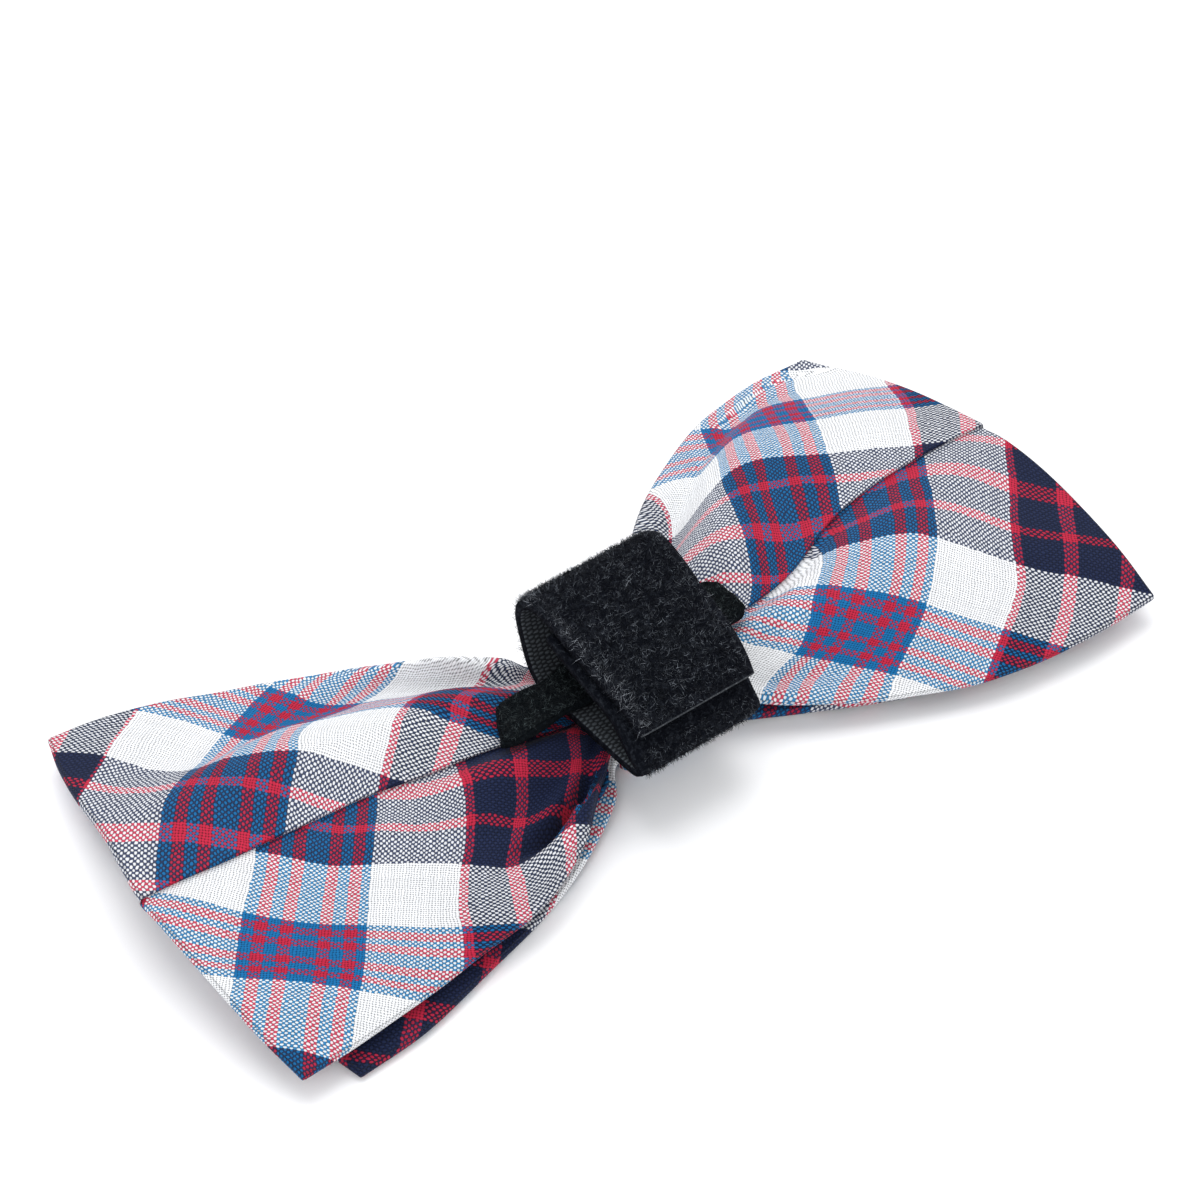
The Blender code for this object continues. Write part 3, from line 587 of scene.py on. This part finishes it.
back_rows = bow_layer(
    (BACK_ACROSS_LEFT, BACK_RISE_LEFT, BACK_LEFT_REACH),
    (BACK_ACROSS_RIGHT, BACK_RISE_RIGHT, BACK_RIGHT_REACH),
    BACK_LIFT,
    BACK_WAIST_ROW,
    BACK_WAIST,
    (BACK_SHOULDER_LEFT, BACK_SHOULDER_RIGHT),
)
FINE = 14
past_lines = 2 * (back_rows.shape[1] - 1 - SEAM_LINE)
far_cloth = past_seam(with_waist(FAR_CLOTH, 2 * SEAM_LINE + 1), 0, past_lines)
near_cloth = past_seam(with_waist(NEAR_CLOTH, past_lines + 1), 2 * SEAM_LINE, 0)
cloth = [spread(values, 12, FINE // 2) for values in (far_cloth, near_cloth)]
wide = resampled(np.concatenate([spread(back_rows, 24, FINE), *cloth], axis=2), 0.55)
place, far_cloth, near_cloth = creased(wide[..., :3], CREASES), wide[..., 3:5], wide[..., 5:7]
# Ironed cotton is never quite flat: a slow swell, and fine gathers that fade from the waist.
share = np.linspace(0, 1, place.shape[1])[None, :]
x, y = place[..., 0], place[..., 1]
place[..., 2] += 0.10 * np.sin(0.21 * x + 0.33 * y + 1.3) + 0.07 * np.sin(0.47 * x - 0.29 * y)
gather = np.exp(-(((np.abs(x) - SHOULDER_END) / GATHER_REACH) ** 2))
ripple = 2 * math.pi * (GATHERS * share + 0.05 * np.sin(0.5 * x)) + 0.4 * np.sign(x)
place[..., 2] += GATHER_RISE * gather * np.sin(ripple)
seam = SEAM_LINE * FINE
far, near = place[:, : seam + 1].copy(), place[:, seam:].copy()
# Along the seam the near flap dips under the far one, which rises a little over it.
for flap, edge, rise, reach in ((near, near[:, :1], -0.50, 2.2), (far, far[:, -1:], 0.15, 1.6)):
    from_seam = np.linalg.norm(flap - edge, axis=2)
    flap[..., 2] += rise * np.exp(-((from_seam / reach) ** 2))
far_uv, near_uv = far_cloth[:, : seam + 1], near_cloth[:, seam:]
# One more line close before the lip keeps its shading narrow.
far, far_uv = (
    np.concatenate([flap[:, :-1], beside(flap[:, -1:], flap[:, -2:-1]), flap[:, -1:]], axis=1)
    for flap in (far, far_uv)
)
lip, lip_uv = far[:, -1:], far_uv[:, -1:]
uv_step = (lip_uv - far_uv[:, -3:-2]) / np.linalg.norm(lip - far[:, -3:-2], axis=2, keepdims=True)
fold, fold_uv = [], []
# The lip rolls under: sideways and down from it, and as far along the cloth.
for dy, dz, run in ((-0.13, -0.06, 0.15), (-0.19, -0.22, 0.32), (-0.14, -0.42, 0.52), (0.02, -0.62, 0.75)):
    fold.append(lip + np.array([0.0, dy, dz]))
    fold_uv.append(lip_uv + uv_step * run)
back_top = np.concatenate([far, *fold, near], axis=1)
back_uv = np.concatenate([far_uv, *fold_uv, near_uv], axis=1)
back_bow = closed_slab("back_bow_cloth", back_top, CLOTH_THICK, back_uv, (23.0, 9.0))
plaid = plaid_material("plaid_cotton")
back_bow.data.materials.append(plaid)
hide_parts("back_bow")
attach(back_bow, "root")

# Front bow: the second tube of the same plaid, flatter, lying face down on the table with only
# its near edge showing past the back bow. It is gathered by the same band.
FRONT_LIFT = 1.3
FRONT_WAIST = 3.1
FRONT_ACROSS_LEFT = [
    (-1.00, 1.02, 0.62, 0.10, -0.50, -0.86),
    (-0.80, 0.98, 0.58, 0.06, -0.50, -0.84),
    (-0.60, 0.86, 0.50, 0.02, -0.46, -0.76),
    (-0.42, 0.66, 0.38, 0.00, -0.38, -0.67),
    (-0.28, 0.46, 0.26, -0.01, -0.28, -0.55),
]
FRONT_ACROSS_RIGHT = [
    (0.28, 0.50, 0.28, 0.00, -0.26, -0.47),
    (0.42, 0.68, 0.40, 0.02, -0.34, -0.61),
    (0.60, 0.86, 0.52, 0.06, -0.42, -0.74),
    (0.80, 0.98, 0.60, 0.10, -0.47, -0.81),
    (1.00, 1.03, 0.64, 0.12, -0.50, -0.83),
]
FRONT_RISE_LEFT = [
    (0.005, 0.21, 0.37, 0.17, 0.005),
    (0.010, 0.23, 0.43, 0.21, 0.020),
    (0.030, 0.25, 0.44, 0.25, 0.040),
    (0.060, 0.21, 0.33, 0.23, 0.060),
    (0.100, 0.17, 0.25, 0.17, 0.090),
]
FRONT_RISE_RIGHT = [
    (0.100, 0.17, 0.25, 0.17, 0.080),
    (0.060, 0.21, 0.33, 0.21, 0.060),
    (0.030, 0.25, 0.44, 0.23, 0.030),
    (0.010, 0.23, 0.43, 0.21, 0.010),
    (0.005, 0.21, 0.37, 0.17, 0.005),
]
FRONT_WAIST_ROW = [
    (0.94, 0.58, 0.00, -0.58, -0.94),
    (0.10, 0.30, 0.20, 0.30, 0.10),
]
FRONT_SHOULDER_LEFT = [
    (1.18, 0.69, 0.00, -0.69, -1.50),
    (-0.10, 0.10, 0.12, 0.05, -0.25),
]
FRONT_SHOULDER_RIGHT = [
    (1.18, 0.69, 0.00, -0.69, -1.28),
    (-0.10, 0.10, 0.12, 0.05, -0.25),
]
FRONT_LEFT_REACH = (0.895, 0.940, 0.950, 0.930, 0.885)
FRONT_RIGHT_REACH = (0.890, 0.925, 0.950, 0.955, 0.930)
FRONT_CLOTH = [
    -12.1, 7.2, -5.4, -3.6, 5.5, -15.5, 19.6, -27.7, 29.6, -33.4,
    -4.7, 13.0, 3.0, 3.2, 14.2, -8.4, 26.9, -20.2, 35.2, -26.5,
    5.8, 17.9, 13.2, 9.6, 23.6, -1.0, 34.4, -11.3, 41.2, -17.6,
    18.0, 21.0, 24.0, 14.8, 32.3, 6.4, 40.7, -1.9, 47.3, -8.1,
    28.6, 22.8, 33.0, 18.3, 38.9, 12.4, 44.8, 6.5, 50.9, 0.6,
    37.6, 25.1, 40.4, 22.3, 44.4, 18.3, 48.3, 14.4, 53.0, 9.7,
    42.0, 26.7, 44.0, 24.6, 47.4, 21.3, 50.7, 18.0, 52.8, 15.9,
    50.2, 34.9, 52.2, 32.8, 55.6, 29.5, 58.9, 26.2, 61.0, 24.1,
    51.8, 39.2, 54.6, 36.4, 58.5, 32.5, 62.5, 28.5, 65.9, 25.1,
    53.2, 49.1, 58.1, 44.3, 64.2, 38.2, 69.9, 32.5, 74.5, 27.8,
    55.4, 59.2, 61.7, 53.2, 70.1, 44.9, 78.0, 37.0, 83.9, 31.0,
    59.0, 70.7, 66.8, 63.6, 77.1, 53.7, 87.7, 43.2, 94.5, 36.0,
    64.0, 81.0, 73.2, 73.5, 84.7, 63.1, 97.4, 50.7, 104.2, 42.7,
    69.7, 88.8, 79.8, 81.8, 92.4, 71.6, 106.2, 58.2, 112.3, 49.8,
]
front_rows = bow_layer(
    (FRONT_ACROSS_LEFT, FRONT_RISE_LEFT, FRONT_LEFT_REACH),
    (FRONT_ACROSS_RIGHT, FRONT_RISE_RIGHT, FRONT_RIGHT_REACH),
    FRONT_LIFT,
    FRONT_WAIST_ROW,
    FRONT_WAIST,
    (FRONT_SHOULDER_LEFT, FRONT_SHOULDER_RIGHT),
)
front_cloth = np.reshape(FRONT_CLOTH, (*front_rows.shape[:2], 2))
wide = resampled(spread(np.concatenate([front_rows, front_cloth], axis=2), 24, 26), 0.6)
front_bow = closed_slab("front_bow_cloth", wide[..., :3], CLOTH_THICK, wide[..., 3:5], (11.0, 27.0))
front_bow.data.materials.append(plaid)
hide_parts("front_bow")
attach(front_bow, "root")

# Centre band: a strip of the same cotton wrapped round both waists, its edges turned under, so
# that it bulges a little along its middle. Only a corner of it shows beside the strap.
BAND_HALF = 5.5
BAND_HALF_THICK = 0.75
BAND_HALF_DEPTH = 9.15
BAND_LOW, BAND_HIGH = 0.75, 7.55
BAND_CORNER = 2.25
turns = []
for cy, cz, first in ((1, 1, 0), (-1, 1, 90), (-1, -1, 180), (1, -1, 270)):
    y = cy * (BAND_HALF_DEPTH - BAND_CORNER)
    z = BAND_HIGH - BAND_CORNER if cz > 0 else BAND_LOW + BAND_CORNER
    for angle in np.radians(np.linspace(first, first + 90, 9)):
        turns.append((y + BAND_CORNER * math.cos(angle), z + BAND_CORNER * math.sin(angle)))
turns = np.array(turns + turns[:1])
lengths = np.concatenate([[0], np.cumsum(np.linalg.norm(np.diff(turns, axis=0), axis=1))])
even = np.linspace(0, lengths[-1], 97)[:-1]
ring = np.stack([np.interp(even, lengths, turns[:, k]) for k in (0, 1)], axis=1)
heading = unit(np.roll(ring, -1, axis=0) - np.roll(ring, 1, axis=0))
ring_out = np.stack([heading[:, 1], -heading[:, 0]], axis=1)
# The strip's section: two rounded edges, the outer side a little sunk towards them, the inner flat.
flat_half = BAND_HALF - BAND_HALF_THICK
edge = np.radians(np.linspace(-90, 90, 9))
edge = np.stack([flat_half + BAND_HALF_THICK * np.cos(edge), BAND_HALF_THICK * np.sin(edge)], axis=1)
profile = np.concatenate([
    edge * (-1, 1),
    [(s * flat_half, BAND_HALF_THICK - 0.12 * s * s) for s in np.linspace(-1, 1, 13)[1:-1]],
    edge[::-1],
    [(s * flat_half, -BAND_HALF_THICK) for s in np.linspace(1, -1, 7)[1:-1]],
])
points, band_uv = [], []
for k, (centre, out_dir) in enumerate(zip(ring, ring_out)):
    for j, (px, off) in enumerate(profile):
        wave = 0.10 * math.sin(1.7 * px + 0.4 * math.sin(even[k] * 0.3)) if off > 0.3 else 0.0
        spot = centre + out_dir * (off - 0.1 + wave)
        points.append((px, spot[0], max(spot[1], 0.02)))
        band_uv.append((px + 55.0, even[k] + 37.0))
points, band_uv = np.array(points), np.array(band_uv)
ring_count, around = len(ring), len(profile)
ids = np.arange(ring_count * around).reshape(ring_count, around)
nxt = np.roll(ids, -1, axis=0)
quads = np.stack([ids, np.roll(ids, -1, axis=1), np.roll(nxt, -1, axis=1), nxt], axis=-1).reshape(-1, 4)
band = placed("centre_band_cloth", cloth_mesh("centre_band_cloth", points, quads, band_uv[quads.ravel()]))
band.data.materials.append(plaid)
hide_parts("centre_band")
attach(band, "root")

# Strap: 20 mm hook-and-loop tape, loop pile outside and woven inside, with a plain selvage.
# Its hidden end lies under the free end, and the inner run lies on the bow's back.
STRAP_WIDTH = 20.0
STRAP_THICK = 1.5
RIB_PITCH, YARN_PITCH = 0.76, 0.31
STRAP_REST = 9.45
LOOP_DEPTH = 23.0
LOOP_HEIGHT = 11.7
# One row a station of the tape: Y as a share of LOOP_DEPTH, height over STRAP_REST as a share of
# LOOP_HEIGHT, then the tape's left and right edges as shares of STRAP_WIDTH.
INNER_RUN = [
    (-0.665, 0.205, -0.500, 0.420),
    (-0.713, 0.103, -0.495, 0.420),
    (-0.683, 0.026, -0.495, 0.420),
    (-0.557, 0.000, -0.495, 0.430),
    (-0.455, 0.000, -0.495, 0.435),
    (-0.348, 0.000, -0.495, 0.440),
    (-0.130, 0.000, -0.495, 0.455),
    (0.070, 0.000, -0.495, 0.470),
]
OUTER_RUN = [
    (0.161, 0.085, -0.495, 0.480),
    (0.209, 0.231, -0.495, 0.485),
    (0.243, 0.402, -0.495, 0.490),
    (0.274, 0.590, -0.495, 0.500),
    (0.289, 0.761, -0.495, 0.505),
    (0.265, 0.923, -0.490, 0.510),
    (0.174, 1.000, -0.480, 0.510),
    (0.026, 0.949, -0.470, 0.505),
    (-0.139, 0.855, -0.465, 0.490),
    (-0.313, 0.769, -0.460, 0.475),
    (-0.487, 0.679, -0.450, 0.450),
    (-0.591, 0.564, -0.440, 0.435),
    (-0.661, 0.419, -0.435, 0.425),
]
inner, outer = np.array(INNER_RUN), np.array(OUTER_RUN)
for run in (inner, outer):
    run[:, 0] *= LOOP_DEPTH
    run[:, 1] = STRAP_REST + run[:, 1] * LOOP_HEIGHT
    run[:, 2:] *= STRAP_WIDTH
LAP_GAP = 2.15
heading = unit(np.gradient(outer[:, :2], axis=0))
inward = np.stack([-heading[:, 1], heading[:, 0]], axis=1)
hidden = outer[-6:].copy()
hidden[:, :2] += inward[-6:] * LAP_GAP
hidden[:, 2:] = np.array((-0.490, 0.435)) * STRAP_WIDTH
STEPS = 12
strap_path = smooth(np.concatenate([hidden, inner, outer]), STEPS)
steps = np.linspace(0, 1, 81)
grid = np.array([[(left + (right - left) * s, y, z) for s in steps] for y, z, left, right in strap_path])
run_length = np.concatenate([[0], np.cumsum(np.linalg.norm(np.diff(strap_path[:, :2], axis=0), axis=1))])
tape_uv = np.stack(np.broadcast_arrays(grid[..., 0], run_length[:, None]), axis=2)
face_out = unit(np.cross(np.gradient(grid, axis=0), np.gradient(grid, axis=1)))
# The pile side stands a little proud of the flat selvages, and both sides round off at the edges.
SELVAGE = 0.9
from_edge = np.minimum(steps, 1 - steps)[None, :] * STRAP_WIDTH
edge_round = np.exp(-((from_edge / 0.35) ** 2))
proud = 0.12 * np.clip((from_edge - SELVAGE) / 0.5, 0, 1) - 0.22 * edge_round
outside = grid + face_out * (STRAP_THICK / 2 + proud[..., None])
inside = grid - face_out * (STRAP_THICK / 2 - 0.15 * edge_round[..., None])
rows, cols = grid.shape[:2]
_, loop, quads = numbered(rows, cols)
n = rows * cols
rim = np.stack([loop, np.roll(loop, -1), np.roll(loop, -1) + n, loop + n], axis=1)
points = np.concatenate([outside.reshape(-1, 3), inside.reshape(-1, 3)])
faces = np.concatenate([quads, quads[:, ::-1] + n, rim])
tape_uv = np.concatenate([tape_uv.reshape(-1, 2)] * 2)
strap = placed("strap_tape", cloth_mesh("strap_tape", points, faces, tape_uv[faces.ravel()]))
kinds = np.concatenate([np.zeros(len(quads)), np.ones(len(quads)), np.full(len(rim), 2)]).astype(np.int32)
# The free end's cut edge is coloured as one pale line.
kinds[len(quads) - (cols - 1) : len(quads)] = 3
strap.data.polygons.foreach_set("material_index", kinds)

# Dark fuzz: a nap's painted grey glints over black and its bumps, for the pile and for the felt.
fuzz, add, calc, given = node_group("dark_fuzz", "ShaderNodeTree", (
    ("INPUT", "Float", ("Scale",)),
    ("OUTPUT", "Float", ("Painted glint", "Height")),
))
where = add("ShaderNodeTexCoord").outputs["Object"]
coarse = add("ShaderNodeTexNoise", Vector=where, Scale=given["Scale"], Detail=4.0, Roughness=0.65)
coarse = coarse.outputs["Fac"]
fine = add("ShaderNodeTexVoronoi", Vector=where, Scale=calc("MULTIPLY", given["Scale"], 2.2))
fine = fine.outputs["Distance"]
# Painted glints: grey where the coarse noise is high, most in the middles of the fine cells, standing in
# for light caught by the nap.
painted_glint = calc("MULTIPLY", calc("SUBTRACT", coarse, 0.47), 5.0)
painted_glint = calc("MULTIPLY", painted_glint, calc("SUBTRACT", 1.0, fine))
out = add("NodeGroupOutput")
fuzz.links.new(calc("MINIMUM", calc("MAXIMUM", painted_glint, 0.0), 1.0), out.inputs["Painted glint"])
fuzz.links.new(calc("ADD", coarse, calc("MULTIPLY", fine, -0.5)), out.inputs["Height"])


def fuzzy_material(name, dark, light, scale, lift_by):
    """Short dark nap, seen as painted glints and bumps."""
    mat, shader, links, add, _ = new_material(name, 0.9, 0.05)
    nap = add("ShaderNodeGroup", {"node_tree": fuzz}, Scale=scale).outputs
    links.new(colour_mix(add, nap["Painted glint"], dark, light), shader["Base Color"])
    bumped(add, links, shader, nap["Height"], lift_by, 1.0)
    return mat


def woven_tape_material(name):
    """The tape's ground: black yarns with a painted sheen, paler spots where one crosses on top."""
    mat, shader, links, add, calc = new_material(name, 0.75, 0.15)
    cloth = add("ShaderNodeUVMap", {"uv_map": "cloth"}).outputs["UV"]
    threads = add("ShaderNodeGroup", {"node_tree": weave}, Cloth=cloth, Warp_pitch=RIB_PITCH,
                  Weft_pitch=YARN_PITCH).outputs
    # Painted sheen: the warp on top is painted paler, and the weave's painted shade darkens it low at its
    # sides.
    shine = calc("MULTIPLY", threads["Warp on top"], threads["Shade"])
    mixed = colour_mix(add, shine, (0.004, 0.005, 0.007), (0.066, 0.076, 0.086))
    links.new(mixed, shader["Base Color"])
    bumped(add, links, shader, threads["Height"], 0.0001, 0.8)
    return mat


def fibre_material(name, dark, light):
    """Fibres of one piece: few pale ones among the dark as painted glints, lit in clumps with painted shade
    between.
    """
    mat, shader, links, add, calc = new_material(name, 0.6, 0.12)
    shade = add("ShaderNodeAttribute", {"attribute_name": "shade"}).outputs["Fac"]
    where = add("ShaderNodeTexCoord").outputs["Object"]
    # Painted light: a noise lets the pale fibres show only in clumps and leaves the gaps between in painted
    # shade.
    lit_tuft = add("ShaderNodeTexNoise", Vector=where, Scale=850.0, Detail=2.0).outputs["Fac"]
    lit_tuft = calc("MINIMUM", calc("MAXIMUM", calc("MULTIPLY_ADD", lit_tuft, 6.0, -2.4), 0.06), 1.0)
    links.new(colour_mix(add, calc("MULTIPLY", shade, lit_tuft), dark, light), shader["Base Color"])
    return mat


# Fibre coat: short curled fibres grown on a surface, each a closed three-sided spike.
coat, add, calc, given = node_group("fibre_coat", "GeometryNodeTree", (
    ("INPUT", "Geometry", ("Geometry",)),
    ("INPUT", "Float", ("Density", "Length", "Thickness", "Lean", "Curl")),
    ("INPUT", "Int", ("Seed",)),
    ("INPUT", "Material", ("Material",)),
    ("OUTPUT", "Geometry", ("Geometry",)),
))
spots = add("GeometryNodeDistributePointsOnFaces", Mesh=given["Geometry"], Density=given["Density"],
            Seed=given["Seed"]).outputs
spike = add("GeometryNodeMeshCone", {"fill_type": "NGON"}, Vertices=3, Side_Segments=2, Radius_Top=0.0,
            Radius_Bottom=given["Thickness"], Depth=given["Length"]).outputs["Mesh"]
along = add("ShaderNodeSeparateXYZ", Vector=add("GeometryNodeInputPosition").outputs[0]).outputs["Z"]
spike = add("GeometryNodeStoreNamedAttribute", {"data_type": "FLOAT", "domain": "POINT"}, Geometry=spike,
            Name="along", Value=calc("DIVIDE", along, given["Length"])).outputs[0]
lean_back = calc("MULTIPLY", given["Lean"], -1.0)
lean_low = add("ShaderNodeCombineXYZ", X=lean_back, Y=lean_back, Z=-3.14).outputs[0]
lean_high = add("ShaderNodeCombineXYZ", X=given["Lean"], Y=given["Lean"], Z=3.14).outputs[0]
tilt = add("FunctionNodeRandomValue", {"data_type": "FLOAT_VECTOR"}, i0=lean_low, i1=lean_high,
           Seed=given["Seed"]).outputs[0]
tilt = add("FunctionNodeEulerToRotation", Euler=tilt).outputs[0]
turned = add("FunctionNodeRotateRotation", {"rotation_space": "LOCAL"}, Rotation=spots["Rotation"],
             Rotate_By=tilt).outputs[0]
size, pale = (
    add("FunctionNodeRandomValue", {"data_type": "FLOAT"}, i2=low, i3=high,
        Seed=calc("ADD", given["Seed"], nth)).outputs[1]
    for low, high, nth in ((0.55, 1.3, 1.0), (0.0, 1.0, 2.0))
)
grown = add("GeometryNodeInstanceOnPoints", Points=spots["Points"], Instance=spike, Rotation=turned,
            Scale=size).outputs[0]
# Each fibre's shade attribute picks its colour between dark and a painted glint; few are pale.
grown = add("GeometryNodeStoreNamedAttribute", {"data_type": "FLOAT", "domain": "INSTANCE"}, Geometry=grown,
            Name="shade", Value=calc("POWER", pale, 3.0)).outputs[0]
real = add("GeometryNodeRealizeInstances", Geometry=grown).outputs[0]
high = add("GeometryNodeInputNamedAttribute", {"data_type": "FLOAT"}, Name="along").outputs[0]
swirl = add("ShaderNodeTexNoise", Scale=1100.0, Detail=1.0).outputs["Color"]
swirl = add("ShaderNodeVectorMath", {"operation": "SUBTRACT"}, i0=swirl, i1=(0.5, 0.5, 0.5)).outputs[0]
amount = calc("MULTIPLY", calc("MULTIPLY", high, high), given["Curl"])
offset = add("ShaderNodeVectorMath", {"operation": "SCALE"}, i0=swirl, Scale=amount).outputs[0]
real = add("GeometryNodeSetPosition", Geometry=real, Offset=offset).outputs[0]
done = add("GeometryNodeSetMaterial", Geometry=real, Material=given["Material"]).outputs[0]
coat.links.new(done, add("NodeGroupOutput").inputs["Geometry"])


def fibres_on(name, surface, material, **amounts):
    """Grows fibres on an open grid of points in millimetres and keeps them as a plain mesh."""
    _, _, quads = numbered(*surface.shape[:2])
    ground = bpy.data.meshes.new(name + "_ground")
    ground.from_pydata((surface.reshape(-1, 3) / 1000 + SHIFT).tolist(), [], quads.tolist())
    host = placed(name + "_ground", ground)
    modifier = host.modifiers.new("coat", "NODES")
    modifier.node_group = coat
    given = {"Material": material, **amounts}
    for item in coat.interface.items_tree:
        if item.in_out == "INPUT" and item.name in given:
            modifier[item.identifier] = given[item.name]
    bpy.context.view_layer.update()
    ready = host.evaluated_get(bpy.context.evaluated_depsgraph_get())
    mesh = bpy.data.meshes.new_from_object(ready)
    mesh.name = name
    if not mesh.materials:
        mesh.materials.append(material)
    bpy.data.objects.remove(host)
    return placed(name, mesh)


# The pile is black; its grey is a painted glint on the loops.
PILE_BLACK, PILE_GLINT_GREY = (0.0030, 0.0038, 0.0066), (0.030, 0.035, 0.045)
pile_ground = fuzzy_material("loop_pile_ground", PILE_BLACK, PILE_GLINT_GREY, 1500.0, 0.0004)
woven = woven_tape_material("tape_weave")
cut_end = fuzzy_material("cut_tape_end", (0.040, 0.044, 0.050), (0.150, 0.160, 0.175), 2600.0, 0.0001)
for mat in (pile_ground, woven, pile_ground, cut_end):
    strap.data.materials.append(mat)
# The light ends of the fibres' colours are painted glints.
pile_fibre = fibre_material("loop_pile_fibre", (0.0035, 0.0044, 0.0075), (0.17, 0.19, 0.22))
stray_fibre = fibre_material("stray_fibre", (0.020, 0.023, 0.030), (0.42, 0.45, 0.50))
# The pile grows where it can be seen: on the outer run and on the near fold under it.
over_from, under_from = (len(hidden) + len(inner) - 1) * STEPS, len(hidden) * STEPS
napped = (from_edge[0] > SELVAGE).nonzero()[0]
napped = slice(napped[0], napped[-1] + 1)
over, under = outside[over_from:-2], outside[under_from : under_from + 3 * STEPS]
pile = {"Density": 19.0e6, "Length": 0.00062, "Thickness": 0.000040, "Lean": 1.05, "Curl": 0.0009}
coats = [
    fibres_on("strap_pile", over[:, napped], pile_fibre, **pile, Seed=11),
    fibres_on("strap_pile_under", under[:, napped], pile_fibre, **pile, Seed=12),
    fibres_on("strap_stray_fibres", over, stray_fibre, Density=0.9e6, Length=0.0014, Thickness=0.000018,
              Lean=1.3, Curl=0.0018, Seed=13),
    fibres_on("strap_edge_fibres", over[:, :7], stray_fibre, Density=22.0e6, Length=0.0010,
              Thickness=0.000024, Lean=1.45, Curl=0.0016, Seed=14),
    fibres_on("strap_far_edge_fibres", over[:, -7:], stray_fibre, Density=6.0e6, Length=0.0009,
              Thickness=0.000020, Lean=1.3, Curl=0.0012, Seed=15),
]
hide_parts("strap")
for piece in (strap, *coats):
    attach(piece, "root")

# Tab: a narrow strip of black brushed felt that lies through the loop along the bow. Its left
# end is cut at a slant, and its cut edges are furry.
TAB_LENGTH = 34.0
TAB_WIDTH = 7.0
TAB_THICK = 1.2
TAB_REST = 10.6
# Along the tab: share of its half length, then half width, middle and slant as shares of its width.
TAB_PLAN = [
    (-1.09, 0.36, -0.17, 0.20),
    (-1.01, 0.42, -0.19, 0.19),
    (-0.82, 0.39, -0.20, 0.12),
    (-0.57, 0.39, -0.18, 0.04),
    (-0.29, 0.46, -0.12, 0.00),
    (0.00, 0.47, -0.12, 0.00),
    (0.29, 0.46, -0.12, 0.00),
    (0.57, 0.45, -0.10, 0.00),
    (0.80, 0.47, -0.09, 0.00),
    (0.94, 0.46, -0.09, 0.00),
    (1.00, 0.36, -0.09, 0.00),
]
plan = smooth(TAB_PLAN, 12)
shares = np.linspace(-1, 1, 31)
tab_top = np.array([
    [(st * TAB_LENGTH / 2 + sl * sh * TAB_WIDTH, (mid + sh * half) * TAB_WIDTH, TAB_REST + TAB_THICK)
     for sh in shares] for st, half, mid, sl in plan
])
x, y = tab_top[..., 0], tab_top[..., 1]
tab_top[..., 2] += 0.12 * np.sin(0.9 * x + 0.7 * y) + 0.10 * np.sin(2.3 * y - 0.8 * x) - 0.16
tab = closed_slab("retaining_tab_felt", tab_top, TAB_THICK, tab_top[..., :2])
# The felt is black; its paler spots and pale fibres are painted glints on the nap.
felt = fuzzy_material("felt", (0.0030, 0.0045, 0.0060), (0.013, 0.017, 0.020), 1700.0, 0.0003)
tab.data.materials.append(felt)
felt_fibre = fibre_material("felt_fibre", (0.0035, 0.0052, 0.0068), (0.110, 0.140, 0.145))
tab_fur = fibres_on("retaining_tab_fur", tab_top, felt_fibre, Density=26.0e6, Length=0.00072,
                    Thickness=0.000030, Lean=1.45, Curl=0.0010, Seed=23)
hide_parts("retaining_tab")
for piece in (tab, tab_fur):
    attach(piece, "root")

# Stage: a white table, a broad soft light from above and behind, and a bright room.
bpy.ops.mesh.primitive_plane_add(size=4.0)
floor = bpy.context.object
floor.name = "floor"
floor_mat, shader, *_ = new_material("floor", 0.9, 0.0)
shader["Base Color"].default_value = (0.96, 0.96, 0.97, 1.0)
floor.data.materials.append(floor_mat)
world = bpy.data.worlds.new("room")
bpy.context.scene.world = world
world.use_nodes = True
background = world.node_tree.nodes["Background"].inputs
background["Color"].default_value = (0.98, 0.99, 1.0, 1.0)
background["Strength"].default_value = 0.99
for name, spot, size, power in (
    ("overhead", (0.10, 0.30, 0.80), 0.70, 4.0),
    ("front_left", (-0.6, -0.5, 0.6), 0.5, 1.2),
):
    lamp_data = bpy.data.lights.new(name, "AREA")
    lamp_data.size = size
    lamp_data.energy = power
    lamp = placed(name, lamp_data)
    lamp.location = spot
    toward = -np.array(spot) / np.linalg.norm(spot)
    lamp.rotation_euler = (math.acos(-toward[2]), 0.0, math.atan2(-toward[0], toward[1]))
bpy.context.scene.view_settings.view_transform = "Standard"
